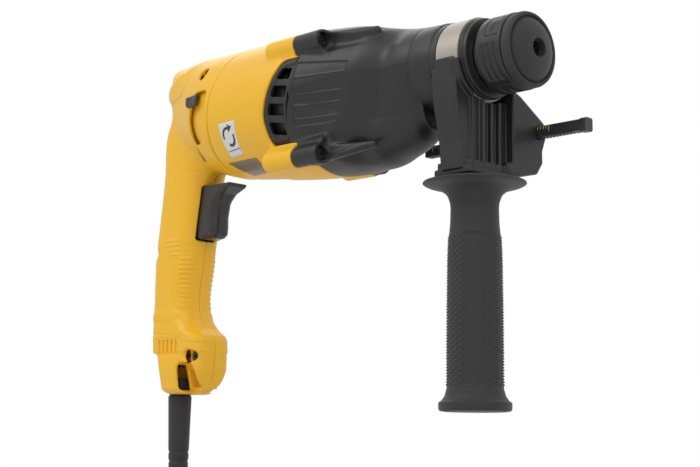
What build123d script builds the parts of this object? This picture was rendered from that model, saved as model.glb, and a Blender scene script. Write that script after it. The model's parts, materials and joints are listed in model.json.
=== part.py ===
from build123d import *
import math
import os

# Rotary hammer for SDS-plus tools, in millimetres.
# +X points along the spindle to the tool, +Y to the user's left and +Z up.
# The origin is the middle of the main grip.

# --- Driving dimensions ---------------------------------------------------------------------
SPINDLE_Z = 70.0  # height of the spindle axis over the grip's middle
MOTOR_Z = 65.0  # height of the armature axis
SHAFT_Z = 40.5  # height of the intermediate shaft
SHELL_END = 76.0  # where the handle shells meet the motor housing
SEAM = 150.0  # where the motor housing meets the gear housing
NECK = 235.0  # front end of the gear housing
TOOL_BORE_R = 5.0  # SDS-plus shank hole
WALL = 2.8  # plastic wall
GAP = 0.3  # gap between pieces that don't touch
RUN = 0.05  # running clearance of a shaft in its bearing

# Gear train, module 1: armature pinion to large gear, front pinion to spindle gear.
MODULE = 1.0
ARMATURE_TEETH = 8
LARGE_TEETH = 41
FRONT_TEETH = 12
SPINDLE_TEETH = 47

# Side handle
HANDLE_X = 263.0  # side handle axis along the spindle
STRAP_R = 24.5  # outer radius of the steel strap
ROD_Y = 42.0  # depth rod, beside the spindle
ROD_Z = 32.8
ROD_BACK = 190.0
ROD_FRONT = 312.5

# Cord
CORD_R = 4.0
CORD_X = 1.5  # where the cord leaves the handle
FLOOR_Z = -268.0  # the surface that the spare cord lies on
COIL_CENTRE = (136.0, -14.0)
COIL_MEAN_R = 46.0
COIL_HALF = 15.0


# --- Helpers --------------------------------------------------------------------------------
def box(x, y, z):
    """A block between the pairs of limits given for each axis."""
    block = Box(x[1] - x[0], y[1] - y[0], z[1] - z[0])
    return Pos((x[0] + x[1]) / 2, (y[0] + y[1]) / 2, (z[0] + z[1]) / 2) * block


def bar_x(radius, x0, x1, y=0.0, z=0.0):
    bar = Cylinder(radius, x1 - x0, align=(Align.CENTER, Align.CENTER, Align.MIN))
    return Pos(x0, y, z) * Rot(0, 90, 0) * bar


def bar_y(radius, y0, y1, x=0.0, z=0.0):
    bar = Cylinder(radius, y1 - y0, align=(Align.CENTER, Align.CENTER, Align.MIN))
    return Pos(x, y0, z) * Rot(-90, 0, 0) * bar


def bar_z(radius, z0, z1, x=0.0, y=0.0):
    bar = Cylinder(radius, z1 - z0, align=(Align.CENTER, Align.CENTER, Align.MIN))
    return Pos(x, y, z0) * bar


def tube_x(outer, inner, x0, x1, y=0.0, z=0.0):
    return bar_x(outer, x0, x1, y, z) - bar_x(inner, x0 - 1, x1 + 1, y, z)


def turned_x(points, z):
    """A solid of revolution about a line along X; points are (x, radius)."""
    face = make_face(Polyline(*points, close=True))
    return Pos(0, 0, z) * revolve(face, Axis.X)


def turned_z(points, x, y):
    """A solid of revolution about a line along Z; points are (radius, z)."""
    face = make_face(Polyline(*[(r, 0, z) for r, z in points], close=True))
    return Pos(x, y, 0) * revolve(face, Axis.Z)


def side_cut(points, half_width):
    """An outline in the XZ plane, as deep as twice half_width about y = 0."""
    face = make_face(Polyline(*[(x, 0, z) for x, z in points], close=True))
    return extrude(face, half_width, dir=(0, 1, 0), both=True)


def one(shape):
    """The single solid of a shape."""
    return max(shape.solids(), key=lambda s: s.volume)


def involute(angle):
    return math.tan(angle) - angle


def gear_x(teeth, x0, x1, z, bore, phase, addendum=0.8, backlash=0.14):
    """A spur gear about a line along X. phase is the angle of one tooth's middle, from +Z."""
    pressure = math.radians(20)
    pitch_r = MODULE * teeth / 2
    base_r = pitch_r * math.cos(pressure)
    root_r = pitch_r - 1.2 * MODULE
    tip_r = pitch_r + addendum * MODULE
    half_pitch = math.pi / (2 * teeth) - backlash / pitch_r

    def half_angle(r):
        at = math.acos(min(1.0, base_r / r)) if r > base_r else 0.0
        return half_pitch + involute(pressure) - involute(at)

    radii = [root_r, max(root_r, base_r) + 0.02, pitch_r, tip_r]
    points = []
    for tooth in range(teeth):
        middle = math.radians(phase) + 2 * math.pi * tooth / teeth
        flank = [(r, middle - half_angle(r)) for r in radii]
        flank += [(r, middle + half_angle(r)) for r in reversed(radii)]
        points += [(r * math.sin(a), r * math.cos(a)) for r, a in flank]
    face = Plane.YZ.offset(x0) * make_face(Polyline(*points, close=True))
    wheel = Pos(0, 0, z) * extrude(face, x1 - x0, dir=(1, 0, 0))
    return wheel - bar_x(bore, x0 - 1, x1 + 1, 0, z) if bore else wheel


def round_section(x, half_width, bottom, top, corner):
    """A rounded rectangle across the tool at x."""
    outline = RectangleRounded(2 * half_width, top - bottom, corner)
    return Plane.YZ.offset(x) * (Pos(0, (top + bottom) / 2) * outline)


def level_section(z, back, front, half_width, corner):
    """A rounded rectangle across the grip at height z."""
    outline = RectangleRounded(front - back, 2 * half_width, corner)
    return Plane.XY.offset(z) * (Pos((back + front) / 2, 0) * outline)


def pear_section(x, top_r, top_z, low_r, low_z):
    """Two circles one over the other, joined by their common tangents, across the tool at x."""
    lean = math.asin((top_r - low_r) / (top_z - low_z))
    side, rise = math.cos(lean), math.sin(lean)
    right_top = (top_r * side, top_z - top_r * rise)
    right_low = (low_r * side, low_z - low_r * rise)
    left_top = (-right_top[0], right_top[1])
    left_low = (-right_low[0], right_low[1])
    outline = [
        ThreePointArc(right_top, (0, top_z + top_r), left_top),
        Line(left_top, left_low),
        ThreePointArc(left_low, (0, low_z - low_r), right_low),
        Line(right_low, right_top),
    ]
    return Plane.YZ.offset(x) * make_face(outline)


# --- Handle shells --------------------------------------------------------------------------
def head_solid(inset):
    """The head behind the motor, from the horn over the hand to the shells' front end."""
    sections = [
        (-1.0, 8.0, 98.0, 109.5, 5.5),
        (10.0, 14.0, 84.0, 110.8, 11.0),
        (24.0, 21.5, 60.0, 111.0, 19.0),
        (44.0, 33.5, 34.0, 110.8, 31.0),
        (66.0, 42.2, 25.8, 110.6, 40.5),
        (SHELL_END, 42.9, 24.7, 110.5, 42.1),
    ]
    faces = []
    for x, half, bottom, top, corner in sections:
        at = x + inset if x < 0 else x
        faces.append(
            round_section(at, half - inset, bottom + inset, top - inset, corner - inset)
        )
    return loft(faces)


def grip_solid(inset):
    """The grip, from inside the head down to the base band."""
    sections = [
        (84.0, -1.5, 30.0, 14.0, 12.0),
        (62.0, -8.0, 32.0, 16.5, 14.0),
        (31.0, -9.3, 32.0, 17.0, 14.5),
        (0.0, -14.0, 28.0, 16.5, 14.5),
        (-28.0, -17.0, 23.5, 16.5, 14.0),
        (-50.0, -16.8, 19.9, 16.5, 13.5),
        (-66.0, -16.4, 20.8, 17.0, 13.0),
    ]
    faces = []
    for z, back, front, half, corner in sections:
        faces.append(level_section(z, back + inset, front - inset, half - inset, corner - inset))
    return loft(faces)


def foot_solid(inset):
    """The base band and the foot below it."""
    sections = [
        (-66.0, -16.4, 20.8, 17.0, 13.0),
        (-78.0, -16.2, 36.6, 17.0, 12.0),
        (-87.0, -15.4, 38.0, 17.0, 12.0),
        (-88.5, -11.5, 37.6, 16.5, 12.0),
        (-99.0, -8.6, 37.0, 16.5, 11.0),
        (-112.0, -5.5, 32.5, 15.0, 9.0),
        (-115.2, -2.0, 28.0, 12.5, 8.0),
    ]
    faces = []
    for z, back, front, half, corner in sections:
        at = z + inset if z < -110 else z
        faces.append(level_section(at, back + inset, front - inset, half - inset, corner - inset))
    return loft(faces, ruled=True)


TRIGGER_TOP = 24.2
TRIGGER_LOW = -11.6
TRIGGER_HALF = 8.0
SCREW_BOSS_R = 5.0
SHELL_SCREWS = [(60.5, 92.0), (45.5, 41.0), (-9.5, -19.0), (30.5, -90.5)]


def loop_window():
    """The hanging loop's window through the front of the foot."""
    return box((19.5, 30.5), (-30, 30), (-110.0, -99.5))


def handle_body():
    outer = head_solid(0) + grip_solid(0) + foot_solid(0)
    inner = head_solid(WALL) + grip_solid(WALL) + foot_solid(WALL)
    inner += box((SHELL_END - 1, SHELL_END + 1), (-38, 38), (30, 106))
    inner -= box((16.5, 60.0), (-30, 30), (-120, -94.0))
    body = outer - inner
    for x, z in SHELL_SCREWS:
        body += bar_y(SCREW_BOSS_R, -13, 13, x, z) & outer
    body -= loop_window()
    # mouth for the trigger, open to the front of the grip
    mouth_z = (TRIGGER_LOW - GAP, TRIGGER_TOP + GAP)
    body -= box((14, 70), (-TRIGGER_HALF - GAP, TRIGGER_HALF + GAP), mouth_z)
    body -= bar_z(7.4, -125, -100, CORD_X)
    body -= bar_z(9.2, -112.5, -104, CORD_X)
    return body


def handle_shell(side):
    """One half of the handle; side is -1 for the user's right and 1 for the left."""
    half = box((-60, 80), (0, 80), (-130, 130))
    if side < 0:
        half = mirror(half, Plane.XZ)
    shell = handle_body() & half
    for x, z in SHELL_SCREWS:
        shell -= bar_y(1.6, -30, 30, x, z)
        if side < 0:
            shell -= bar_y(3.6, -60, -11.0, x, z)
    if side < 0:
        shell -= box((50.5, 72.5), (-60, -30), (46, 78))
    return one(shell)


def shell_screws():
    """Countersunk-plate screws that hold the shells together, with hex sockets."""
    screws = []
    for x, z in SHELL_SCREWS:
        screw = bar_y(1.6 - RUN, -11.0, 12.0, x, z) + bar_y(3.3, -13.6, -11.0, x, z)
        screw -= Pos(x, -13.7, z) * Rot(90, 0, 0) * extrude(RegularPolygon(1.5, 6), 1.4, both=True)
        screws.append(screw)
    return Compound(children=screws)


# --- Trigger and switch ---------------------------------------------------------------------
def trigger():
    outline = [
        (25.5, TRIGGER_LOW + 2.5),
        (33.0, TRIGGER_LOW),
        (41.0, TRIGGER_LOW),
        (43.0, -7.0),
        (42.6, 3.0),
        (44.5, 11.0),
        (49.0, 18.0),
        (57.0, 22.2),
        (57.4, TRIGGER_TOP),
        (25.5, TRIGGER_TOP),
    ]
    body = side_cut(outline, TRIGGER_HALF)
    edges = body.edges().filter_by(lambda e: abs(e.center().Y) > TRIGGER_HALF - 0.01)
    front = edges.filter_by(lambda e: e.center().X > 40 and e.center().Z < 21)
    body = fillet(front, 3.0)
    body += bar_x(2.0, 10.0, 26.0, 0, 4.0)
    return one(body)


def trigger_spring():
    return tube_x(4.6, 3.4, 17.2, 25.3, 0, 4.0)


def trigger_switch():
    body = box((-4, 17), (-9, 9), (-18, 25))
    body = fillet(body.edges().filter_by(Axis.Y), 2.0)
    body -= bar_x(2.0 + GAP, 2.0, 18.0, 0, 4.0)
    return one(body)


# --- Motor housing --------------------------------------------------------------------------
LUGS = [(-36.0, 93.2), (36.0, 93.2), (-36.3, 23.2), (31.0, 28.0)]
LUG_R = 6.3
VENT_X = (129.0, SEAM)
VENT_Z = (33.0, 85.0)


def lug_bar(x0, x1, y, z):
    """A screw lug along the housing, with the metal between it and the wall."""
    inward = 0.88
    return bar_x(LUG_R, x0, x1, y, z) + bar_x(LUG_R, x0, x1, y * inward, MOTOR_Z + (z - MOTOR_Z) * inward)


def barrel_solid(inset):
    stations = [(SHELL_END, 42.9, 67.6), (98.0, 44.2, 66.4), (128.0, 45.6, 64.4), (SEAM, 46.0, 63.4)]
    faces = [
        Plane.YZ.offset(x) * (Pos(0, z) * Circle(r - inset)) for x, r, z in stations
    ]
    return loft(faces)


def motor_housing():
    """The one-piece barrel round the motor, with four lugs and a vent window each side."""
    body = barrel_solid(0)
    for y, z in LUGS:
        body += lug_bar(127.0, SEAM, y, z)
    body -= barrel_solid(WALL)
    for y, z in LUGS:
        body += bar_x(4.8, 128.0, SEAM, y, z)
        body -= bar_x(2.1, 129.0, SEAM + 1, y, z)
    window = box(VENT_X, (-60, -30), VENT_Z)
    window += mirror(window, Plane.XZ)
    body -= window
    # rear spider that carries the armature's rear bearing, reaching back inside the shells
    body += tube_x(14.0, 9.5 + RUN, 67.0, 74.0, 0, MOTOR_Z)
    for angle in (45, 135, 225, 315):
        arm = box((67.0, 70.0), (12.5, 36.5), (-3, 3)) + box((67.0, SHELL_END + 0.5), (33.0, 36.5), (-3, 3))
        arm = Pos(0, 0, MOTOR_Z) * Rot(angle, 0, 0) * arm
        foot = Pos(0, 0, MOTOR_Z) * Rot(angle, 0, 0) * box((SHELL_END, 82.0), (33.0, 43.0), (-3, 3))
        body += arm + (foot & barrel_solid(0.5))
    # ribs that hold the stator core
    for angle in (0, 90, 180, 270):
        rib = box((90, 122), (37.0 + RUN, 44.0), (-4, 4))
        rib = Pos(0, 0, MOTOR_Z) * Rot(angle, 0, 0) * rib
        body += rib & barrel_solid(0.5)
    return one(body)


def vent_baffle():
    """The black ring behind the barrel's windows, slotted where the fan blows out."""
    ring = bar_x(41.5, 128.0, SEAM - 5.5, 0, 64.0) - bar_x(38.5, 120, 160, 0, 64.0)
    for side in (-1, 1):
        pad = barrel_solid(0.6) - bar_x(39.0, 120, 160, 0, 64.0)
        limits = (-60, -30) if side < 0 else (30, 60)
        x = (VENT_X[0] + GAP, SEAM - GAP)
        z = (VENT_Z[0] + GAP, VENT_Z[1] - GAP)
        pad &= box(x, limits, z)
        ring += pad
        for slot in range(4):
            middle = 42.5 + 11.2 * slot
            ring -= box((VENT_X[0] + 3, SEAM - 3.5), limits, (middle - 2.9, middle + 2.9))
    return one(ring)


def stator_core():
    body = tube_x(37.0, 24.6, 88.0, 124.0, 0, MOTOR_Z)
    for side in (-1, 1):
        body -= box((80, 130), (-14, 14), (MOTOR_Z + side * 29 - 4, MOTOR_Z + side * 29 + 4))
    return one(body)


def field_windings():
    coils = []
    for side in (-1, 1):
        middle = MOTOR_Z + side * 29
        coil = box((82, 130), (-13.5, 13.5), (middle - 3.5, middle + 3.5))
        coils.append(fillet(coil.edges().filter_by(Axis.X), 2.0))
    return Compound(children=coils)


# --- Armature -------------------------------------------------------------------------------
def armature_shaft():
    """Steel shaft with the helical pinion cut on its front end, drawn as a straight spur."""
    shaft = bar_x(4.0, 61.5, 74.0, 0, MOTOR_Z) + bar_x(5.0, 74.0, 155.5, 0, MOTOR_Z)
    shaft += bar_x(2.8, 155.5, 158.0, 0, MOTOR_Z)
    return one(shaft + gear_x(ARMATURE_TEETH, 157.5, 166.2, MOTOR_Z, 0, 180.0))


def armature_core():
    core = tube_x(23.6, 5.0, 90.0, 122.0, 0, MOTOR_Z)
    for slot in range(12):
        notch = box((80, 130), (-1.2, 1.2), (14.0, 25.0))
        core -= Pos(0, 0, MOTOR_Z) * Rot(30 * slot, 0, 0) * notch
    return one(core)


def armature_windings():
    ends = []
    for x0, x1 in ((85.0, 89.9), (122.1, 128.0)):
        ends.append(tube_x(20.0, 5.1, x0, x1, 0, MOTOR_Z))
    return Compound(children=ends)


def commutator():
    ring = tube_x(12.0, 5.0, 75.5, 82.5, 0, MOTOR_Z)
    for slot in range(24):
        notch = box((75, 83), (-0.25, 0.25), (10.8, 13.0))
        ring -= Pos(0, 0, MOTOR_Z) * Rot(15 * slot, 0, 0) * notch
    return one(ring)


def fan():
    """Cooling fan: a disc with radial blades towards the motor, on a hub."""
    body = tube_x(34.0, 5.0, 139.5, 141.0, 0, MOTOR_Z) + tube_x(9.0, 5.0, 131.0, 140.0, 0, MOTOR_Z)
    for blade in range(11):
        vane = box((132.0, 139.6), (-0.8, 0.8), (14.0, 33.5))
        body += Pos(0, 0, MOTOR_Z) * Rot(360 / 11 * blade, 0, 0) * vane
    return one(body)


def sealed_bearing(outer, bore, x0, x1, z):
    """A ball bearing with its shields, as one ring with a groove between its rings."""
    body = tube_x(outer, bore, x0, x1, 0, z)
    middle = (outer + bore) / 2
    for face in (x0, x1):
        body -= tube_x(middle + 0.8, middle - 0.8, face - 0.4, face + 0.4, 0, z)
    return one(body)


# --- Reversing ring and brushes -------------------------------------------------------------
def brush_ring():
    """The turning ring that carries the brushes, with the tab that sticks out of the shell."""
    body = tube_x(31.0, 16.5, 75.0, 77.0, 0, MOTOR_Z)
    tab = box((60.0, 71.0), (-45.0, -33.0), (69.5, 76.5))
    arm = box((60.0, 77.0), (-34.5, -29.5), (71.0, 75.5)) & bar_x(36.0, 50, 90, 0, MOTOR_Z)
    return one(body + tab + arm)


def brush_holders():
    holders = []
    for side in (-1, 1):
        sleeve = box((77.0, 84.0), (-4.2, 4.2), (13.0, 30.0)) - box((78.5, 82.5), (-2.9, 2.9), (12, 31))
        turn = 90 * side
        holders.append(Pos(0, 0, MOTOR_Z) * Rot(turn, 0, 0) * sleeve)
    return Compound(children=holders)


def carbon_brushes():
    brushes = []
    for turn in (-90, 90):
        brush = box((78.7, 82.3), (-2.7, 2.7), (12.1, 22.0))
        brushes.append(Pos(0, 0, MOTOR_Z) * Rot(turn, 0, 0) * brush)
    return Compound(children=brushes)


def brush_springs():
    springs = []
    for turn in (-90, 90):
        coil = box((78.8, 82.2), (-2.2, 2.2), (22.1, 29.0))
        springs.append(Pos(0, 0, MOTOR_Z) * Rot(turn, 0, 0) * coil)
    return Compound(children=springs)


# --- Gear case ------------------------------------------------------------------------------
def gear_case_solid(inset):
    stations = [
        (SEAM, 45.6, 64.0, 43.5, 60.6),
        (168.0, 41.4, 67.0, 36.8, 52.6),
        (184.0, 37.2, 69.2, 32.0, 48.2),
        (205.0, 31.0, 70.0, 23.5, 42.0),
        (228.0, 26.6, 70.0, 15.5, 43.5),
        (NECK, 26.0, 70.0, 13.0, 47.0),
    ]
    faces = [
        pear_section(x, top_r - inset, top_z, low_r - inset, low_z)
        for x, top_r, top_z, low_r, low_z in stations
    ]
    return loft(faces)


def lug_front(y):
    """The left lower lug is shorter, to clear the depth rod."""
    return 162.0 if 0 < y < 33 else 175.0


KNOB_X = 168.0
KNOB_Z = 58.0


def gear_housing():
    body = gear_case_solid(0)
    for y, z in LUGS:
        body += lug_bar(SEAM, lug_front(y), y, z)
    body += bar_y(16.5, 20, 44.5, KNOB_X, KNOB_Z)
    cavity = gear_case_solid(2.6) & box((SEAM - 1, NECK - 4), (-60, 60), (0, 130))
    body -= cavity
    for y, z in LUGS:
        front = lug_front(y)
        body += bar_x(4.8, SEAM, front - 6.0, y, z)
        body -= bar_x(2.1, SEAM - 1, front, y, z)
        body -= bar_x(4.2, front - 6.0, front + 20, y, z)
    # seat of the intermediate shaft's front bearing
    seat = bar_x(9.3, 209.5, 217.5, 0, SHAFT_Z) + box((209.5, 217.5), (-4, 4), (20, 34))
    body += (seat & gear_case_solid(1.0)) - bar_x(8.0 + RUN, 208.0, 216.6, 0, SHAFT_Z)
    body -= bar_x(22.2, NECK - 6, NECK + 1, 0, SPINDLE_Z)
    body -= bar_y(9.3, 15, 60, KNOB_X, KNOB_Z)
    return one(body)


def gear_housing_screws():
    screws = []
    for y, z in LUGS:
        seat = lug_front(y) - 6.0 + 0.02
        screw = bar_x(2.0, 130.0, seat, y, z) + bar_x(3.9, seat, seat + 4.0, y, z)
        socket = Plane.YZ.offset(seat + 2.0) * (Pos(y, z) * RegularPolygon(2.0, 6))
        screws.append(screw - extrude(socket, 3, dir=(1, 0, 0)))
    return Compound(children=screws)


def inner_housing():
    """The bearing plate between the motor and the gears."""
    plate = bar_x(41.0, SEAM + 0.5, SEAM + 4.0, 0, 63.4)
    plate += bar_x(13.5, SEAM - 4.5, SEAM + 6.0, 0, MOTOR_Z)
    plate += bar_x(11.3, SEAM + 0.5, SEAM + 8.6, 0, SHAFT_Z)
    plate -= bar_x(11.0 + RUN, SEAM - 5.0, SEAM + 3.5, 0, MOTOR_Z)
    plate -= bar_x(6.0, SEAM - 6.0, SEAM + 8.0, 0, MOTOR_Z)
    plate -= bar_x(9.5 + RUN, SEAM + 2.6, SEAM + 9.0, 0, SHAFT_Z)
    return one(plate)


# --- Intermediate shaft and wobble drive ----------------------------------------------------
def intermediate_shaft():
    """Shaft with the front pinion in one piece."""
    shaft = bar_x(5.0, 153.0, 159.2, 0, SHAFT_Z) + bar_x(6.0, 159.2, 200.0, 0, SHAFT_Z)
    shaft += gear_x(FRONT_TEETH, 199.0, 209.4, SHAFT_Z, 0, 0.0)
    return one(shaft + bar_x(4.0, 209.4, 216.0, 0, SHAFT_Z))


def large_gear():
    phase = 180.0 / LARGE_TEETH
    wheel = gear_x(LARGE_TEETH, 159.4, 166.2, SHAFT_Z, 6.0, phase, addendum=0.6)
    return one(wheel)


WOBBLE_X = 178.5
WOBBLE_LEAN = 14.0  # lean of the ball track, which is also the finger's swing
TRACK_R = 13.2  # radius of the circle through the balls' centres


def wobble_hub():
    """Drum with the leaning ball track."""
    drum = tube_x(12.5, 6.0, WOBBLE_X - 10.0, WOBBLE_X + 10.0, 0, SHAFT_Z)
    track = Torus(TRACK_R, 2.05)
    track = Pos(WOBBLE_X, 0, SHAFT_Z) * Rot(0, 0, WOBBLE_LEAN) * Rot(0, 90, 0) * track
    return one(drum - track)


def wobble_balls():
    balls = []
    for index in range(10):
        ball = Pos(0, 0, TRACK_R) * Sphere(2.0)
        ball = Rot(0, 0, WOBBLE_LEAN) * Rot(36 * index + 18, 0, 0) * ball
        balls.append(Pos(WOBBLE_X, 0, SHAFT_Z) * ball)
    return Compound(children=balls)


FINGER_R = 2.8


def wobble_ring():
    """The ring round the hub, with the finger that drives the piston."""
    ring = tube_x(20.0, 17.0, WOBBLE_X - 3.0, WOBBLE_X + 3.0, 0, SHAFT_Z)
    finger = bar_z(FINGER_R, SHAFT_Z + 18.5, SPINDLE_Z + 6.0, WOBBLE_X)
    return one(ring + finger)


# --- Striking parts -------------------------------------------------------------------------
CYLINDER_R = 10.5
TRUNNION_R = 2.6


def piston():
    """The piston with its rear fork, where the wobble finger's trunnion sits."""
    body = bar_x(CYLINDER_R - RUN, 189.0, 202.0, 0, SPINDLE_Z)
    fork = box((170.5, 190.0), (-8.2, 8.2), (SPINDLE_Z - 6.4, SPINDLE_Z + 6.4))
    fork -= box((169.0, 186.0), (-5.5, 5.5), (SPINDLE_Z - 8, SPINDLE_Z + 8))
    return one(body + fork - bar_y(TRUNNION_R + RUN, -10, 10, WOBBLE_X, SPINDLE_Z))


def trunnion():
    """The cross pin that turns in the piston's fork and slides on the wobble finger."""
    pin = bar_y(4.4, -5.3, 5.3, WOBBLE_X, SPINDLE_Z) + bar_y(TRUNNION_R, -8.0, 8.0, WOBBLE_X, SPINDLE_Z)
    return one(pin - bar_z(FINGER_R + 0.15, SPINDLE_Z - 8, SPINDLE_Z + 8, WOBBLE_X))


def striker():
    r = CYLINDER_R - RUN
    profile = [(212.5, 0), (212.5, r), (224.0, r), (226.0, 6.5), (228.5, 6.5), (228.5, 0)]
    return one(turned_x(profile, SPINDLE_Z))


def beat_piece():
    """The intermediate hammer that passes the blow to the tool's shank."""
    profile = [
        (237.0, 0),
        (237.0, 6.0),
        (243.5, 6.0),
        (245.5, 7.45),
        (251.5, 7.45),
        (253.0, 4.8),
        (257.5, 4.8),
        (257.5, 0),
    ]
    return one(turned_x(profile, SPINDLE_Z))


# --- Spindle --------------------------------------------------------------------------------
LOCK_X = 290.0  # the locking balls' place along the spindle


def spindle():
    """Cylinder, beat piece guide and tool socket in one turned piece."""
    outer = [
        (187.5, 0),
        (187.5, 13.5),
        (254.0, 13.5),
        (256.0, 11.0),
        (276.4, 11.0),
        (276.4, 16.5),
        (277.6, 16.5),
        (277.6, 11.0),
        (306.0, 11.0),
        (306.0, 0),
    ]
    body = turned_x(outer, SPINDLE_Z)
    body -= bar_x(CYLINDER_R, 186.0, 233.0, 0, SPINDLE_Z)
    body -= bar_x(7.5, 232.0, 257.7, 0, SPINDLE_Z)
    body -= bar_x(TOOL_BORE_R, 257.0, 307.0, 0, SPINDLE_Z)
    for side in (-1, 1):
        body -= Pos(LOCK_X, side * 8.3, SPINDLE_Z) * Rot(90, 0, 0) * Cylinder(3.2, 8.0)
    return one(body)


def spindle_gear():
    phase = 180.0 + 180.0 / SPINDLE_TEETH
    return one(gear_x(SPINDLE_TEETH, 200.0, 208.4, SPINDLE_Z, 13.5, phase, addendum=0.7))


def clutch_spring():
    """The overload clutch's disc springs, stacked against the spindle gear."""
    discs = []
    for index in range(4):
        back = 208.6 + 3.4 * index
        discs.append(tube_x(20.0 - 1.2 * (index % 2), 13.5, back, back + 2.8, 0, SPINDLE_Z))
    return Compound(children=discs)


def locking_balls():
    balls = [Pos(LOCK_X, side * 8.15, SPINDLE_Z) * Sphere(3.0) for side in (-1, 1)]
    return Compound(children=balls)


# --- Nose and chuck -------------------------------------------------------------------------
SLEEVE_BACK = 281.0
SLEEVE_FRONT = 299.2


def nose_collar():
    """The round nose that holds the spindle bearing; the side handle's strap runs on it."""
    outer = [
        (NECK, 0),
        (NECK, 25.9),
        (250.0, 25.3),
        (250.0, 24.6),
        (254.5, 24.9),
        (254.5, 23.0),
        (271.5, 23.0),
        (271.5, 23.6),
        (276.0, 23.2),
        (276.0, 0),
    ]
    body = turned_x(outer, SPINDLE_Z)
    body += bar_x(22.0, NECK - 4.0, NECK + 1.0, 0, SPINDLE_Z)
    body -= bar_x(21.0 + RUN, NECK - 5.0, 253.0, 0, SPINDLE_Z)
    body -= bar_x(14.5, 252.0, 270.0, 0, SPINDLE_Z)
    body -= bar_x(17.0 + RUN, 268.0, 277.0, 0, SPINDLE_Z)
    return one(body)


def spindle_seal():
    ring = tube_x(17.0, 11.0 + RUN, 268.2, 274.0, 0, SPINDLE_Z)
    ring -= tube_x(15.5, 12.5, 271.0, 275.0, 0, SPINDLE_Z)
    return one(ring)


def lock_sleeve():
    """The sleeve that is pulled back to free the tool, with its locking ring inside."""
    outer = [
        (SLEEVE_BACK, 19.0),
        (SLEEVE_BACK, 21.4),
        (283.5, 22.0),
        (293.5, 22.1),
        (294.3, 21.2),
        (295.2, 22.1),
        (SLEEVE_FRONT, 21.9),
        (SLEEVE_FRONT, 19.0),
        (LOCK_X + 2.5, 19.0),
        (LOCK_X + 2.5, 11.6),
        (LOCK_X - 2.5, 11.6),
        (LOCK_X - 2.5, 19.0),
    ]
    return one(turned_x(outer, SPINDLE_Z))


def sleeve_spring():
    return one(tube_x(16.0, 12.5, 277.8, LOCK_X - 2.7, 0, SPINDLE_Z))


def nose_cap():
    """The rubber cap on the spindle's front end."""
    outer = [
        (299.6, 11.05),
        (299.6, 21.7),
        (304.4, 21.4),
        (305.2, 20.4),
        (305.2, 19.2),
        (306.4, 18.4),
        (308.6, 14.5),
        (310.0, 9.5),
        (310.6, 5.6),
        (309.4, 5.5),
        (306.1, 5.5),
        (306.1, 11.05),
    ]
    return one(turned_x(outer, SPINDLE_Z))


# --- Mode knob ------------------------------------------------------------------------------
def mode_knob():
    """Rotary selector on the left side: drilling, hammer drilling and chiselling."""
    body = bar_y(9.2 - RUN, 34.0, 46.0, KNOB_X, KNOB_Z) + bar_y(15.5, 44.8, 51.0, KNOB_X, KNOB_Z)
    bar = box((KNOB_X - 14.5, KNOB_X + 14.5), (50.9, 57.0), (KNOB_Z - 4.5, KNOB_Z + 4.5))
    body += bar & bar_y(14.8, 50, 58, KNOB_X, KNOB_Z)
    body -= box((KNOB_X + 3.2, KNOB_X + 10.8), (49.0, 58.0), (KNOB_Z - 3.3, KNOB_Z + 3.3))
    body += bar_y(1.5, 30.0, 35.0, KNOB_X + 6.0, KNOB_Z)
    return one(body)


def lock_button():
    cap = box((KNOB_X + 3.5, KNOB_X + 10.5), (51.5, 58.2), (KNOB_Z - 3.0, KNOB_Z + 3.0))
    return one(fillet(cap.edges().filter_by(Axis.Y), 0.9))


# --- Side handle ----------------------------------------------------------------------------
FLANGE_Z = -0.4
GRIP_LOW = -128.5
BUTTON_Z = 22.0


def bracket():
    """The saddle below the nose, with the lobe on its left that holds the depth rod."""
    saddle = [
        (-25.4, 68.0),
        (-24.6, 40.0),
        (-21.0, 20.0),
        (-21.0, 4.2),
        (26.0, 4.2),
        (25.4, 68.0),
    ]
    face = make_face(Polyline(*[(251.0, y, z) for y, z in saddle], close=True))
    body = extrude(face, 20.5, dir=(1, 0, 0))
    lobe = [(19.0, 52.5), (48.0, 38.5), (49.5, 32.0), (45.2, 22.0), (45.2, 15.0), (40.3, 8.5), (19.0, 4.2)]
    far = make_face(Polyline(*[(256.0, y, z) for y, z in lobe], close=True))
    body += extrude(far, 22.0, dir=(1, 0, 0))
    body += box((248.0, 277.0), (-20.0, 20.0), (1.4, 9.0))
    # seat on the nose, groove for the strap and pocket for the strap's tang
    body -= bar_x(26.2, 240, 254.8, 0, SPINDLE_Z)
    body -= bar_x(23.0 + GAP, 250, 290, 0, SPINDLE_Z)
    body -= bar_x(STRAP_R + 0.1, 254.7, 271.3, 0, SPINDLE_Z)
    body -= bar_x(24.2, 271.2, 290, 0, SPINDLE_Z)
    body -= box((255.7, 270.3), (-7.3, 7.3), (30.0, 50.0))
    # recess in the front face between the arm and the lobe
    recess = box((262.5, 300), (-13.5, 17.0), (11.0, 50.0))
    for rib_y in (-3.0, 3.5, 10.0):
        recess -= box((262.0, 271.5), (rib_y - 1.1, rib_y + 1.1), (10.0, 51.0))
    body -= recess & box((270.6, 300), (-13.5, 17.0), (11.0, 50.0))
    body -= box((240, 295), (ROD_Y - 3.3, ROD_Y + 3.3), (ROD_Z - 3.5, ROD_Z + 3.7))
    body -= bar_z(4.6, 0, 42, HANDLE_X, 0)
    body -= bar_y(3.3, 38.0, 60.0, 270.0, BUTTON_Z)
    return one(body)


def strap_band():
    """The steel strap round the nose, drawn tight by the bolt when the grip is turned."""
    band = tube_x(STRAP_R, 23.0 + RUN * 2, 255.0, 271.0, 0, SPINDLE_Z)
    tang = box((256.0, 270.0), (-7.0, 7.0), (31.0, 48.0))
    tang -= bar_x(23.0 + RUN * 2, 240, 290, 0, SPINDLE_Z)
    return one(band + tang - bar_z(4.2 + RUN, 20, 40.5, HANDLE_X, 0))


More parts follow.
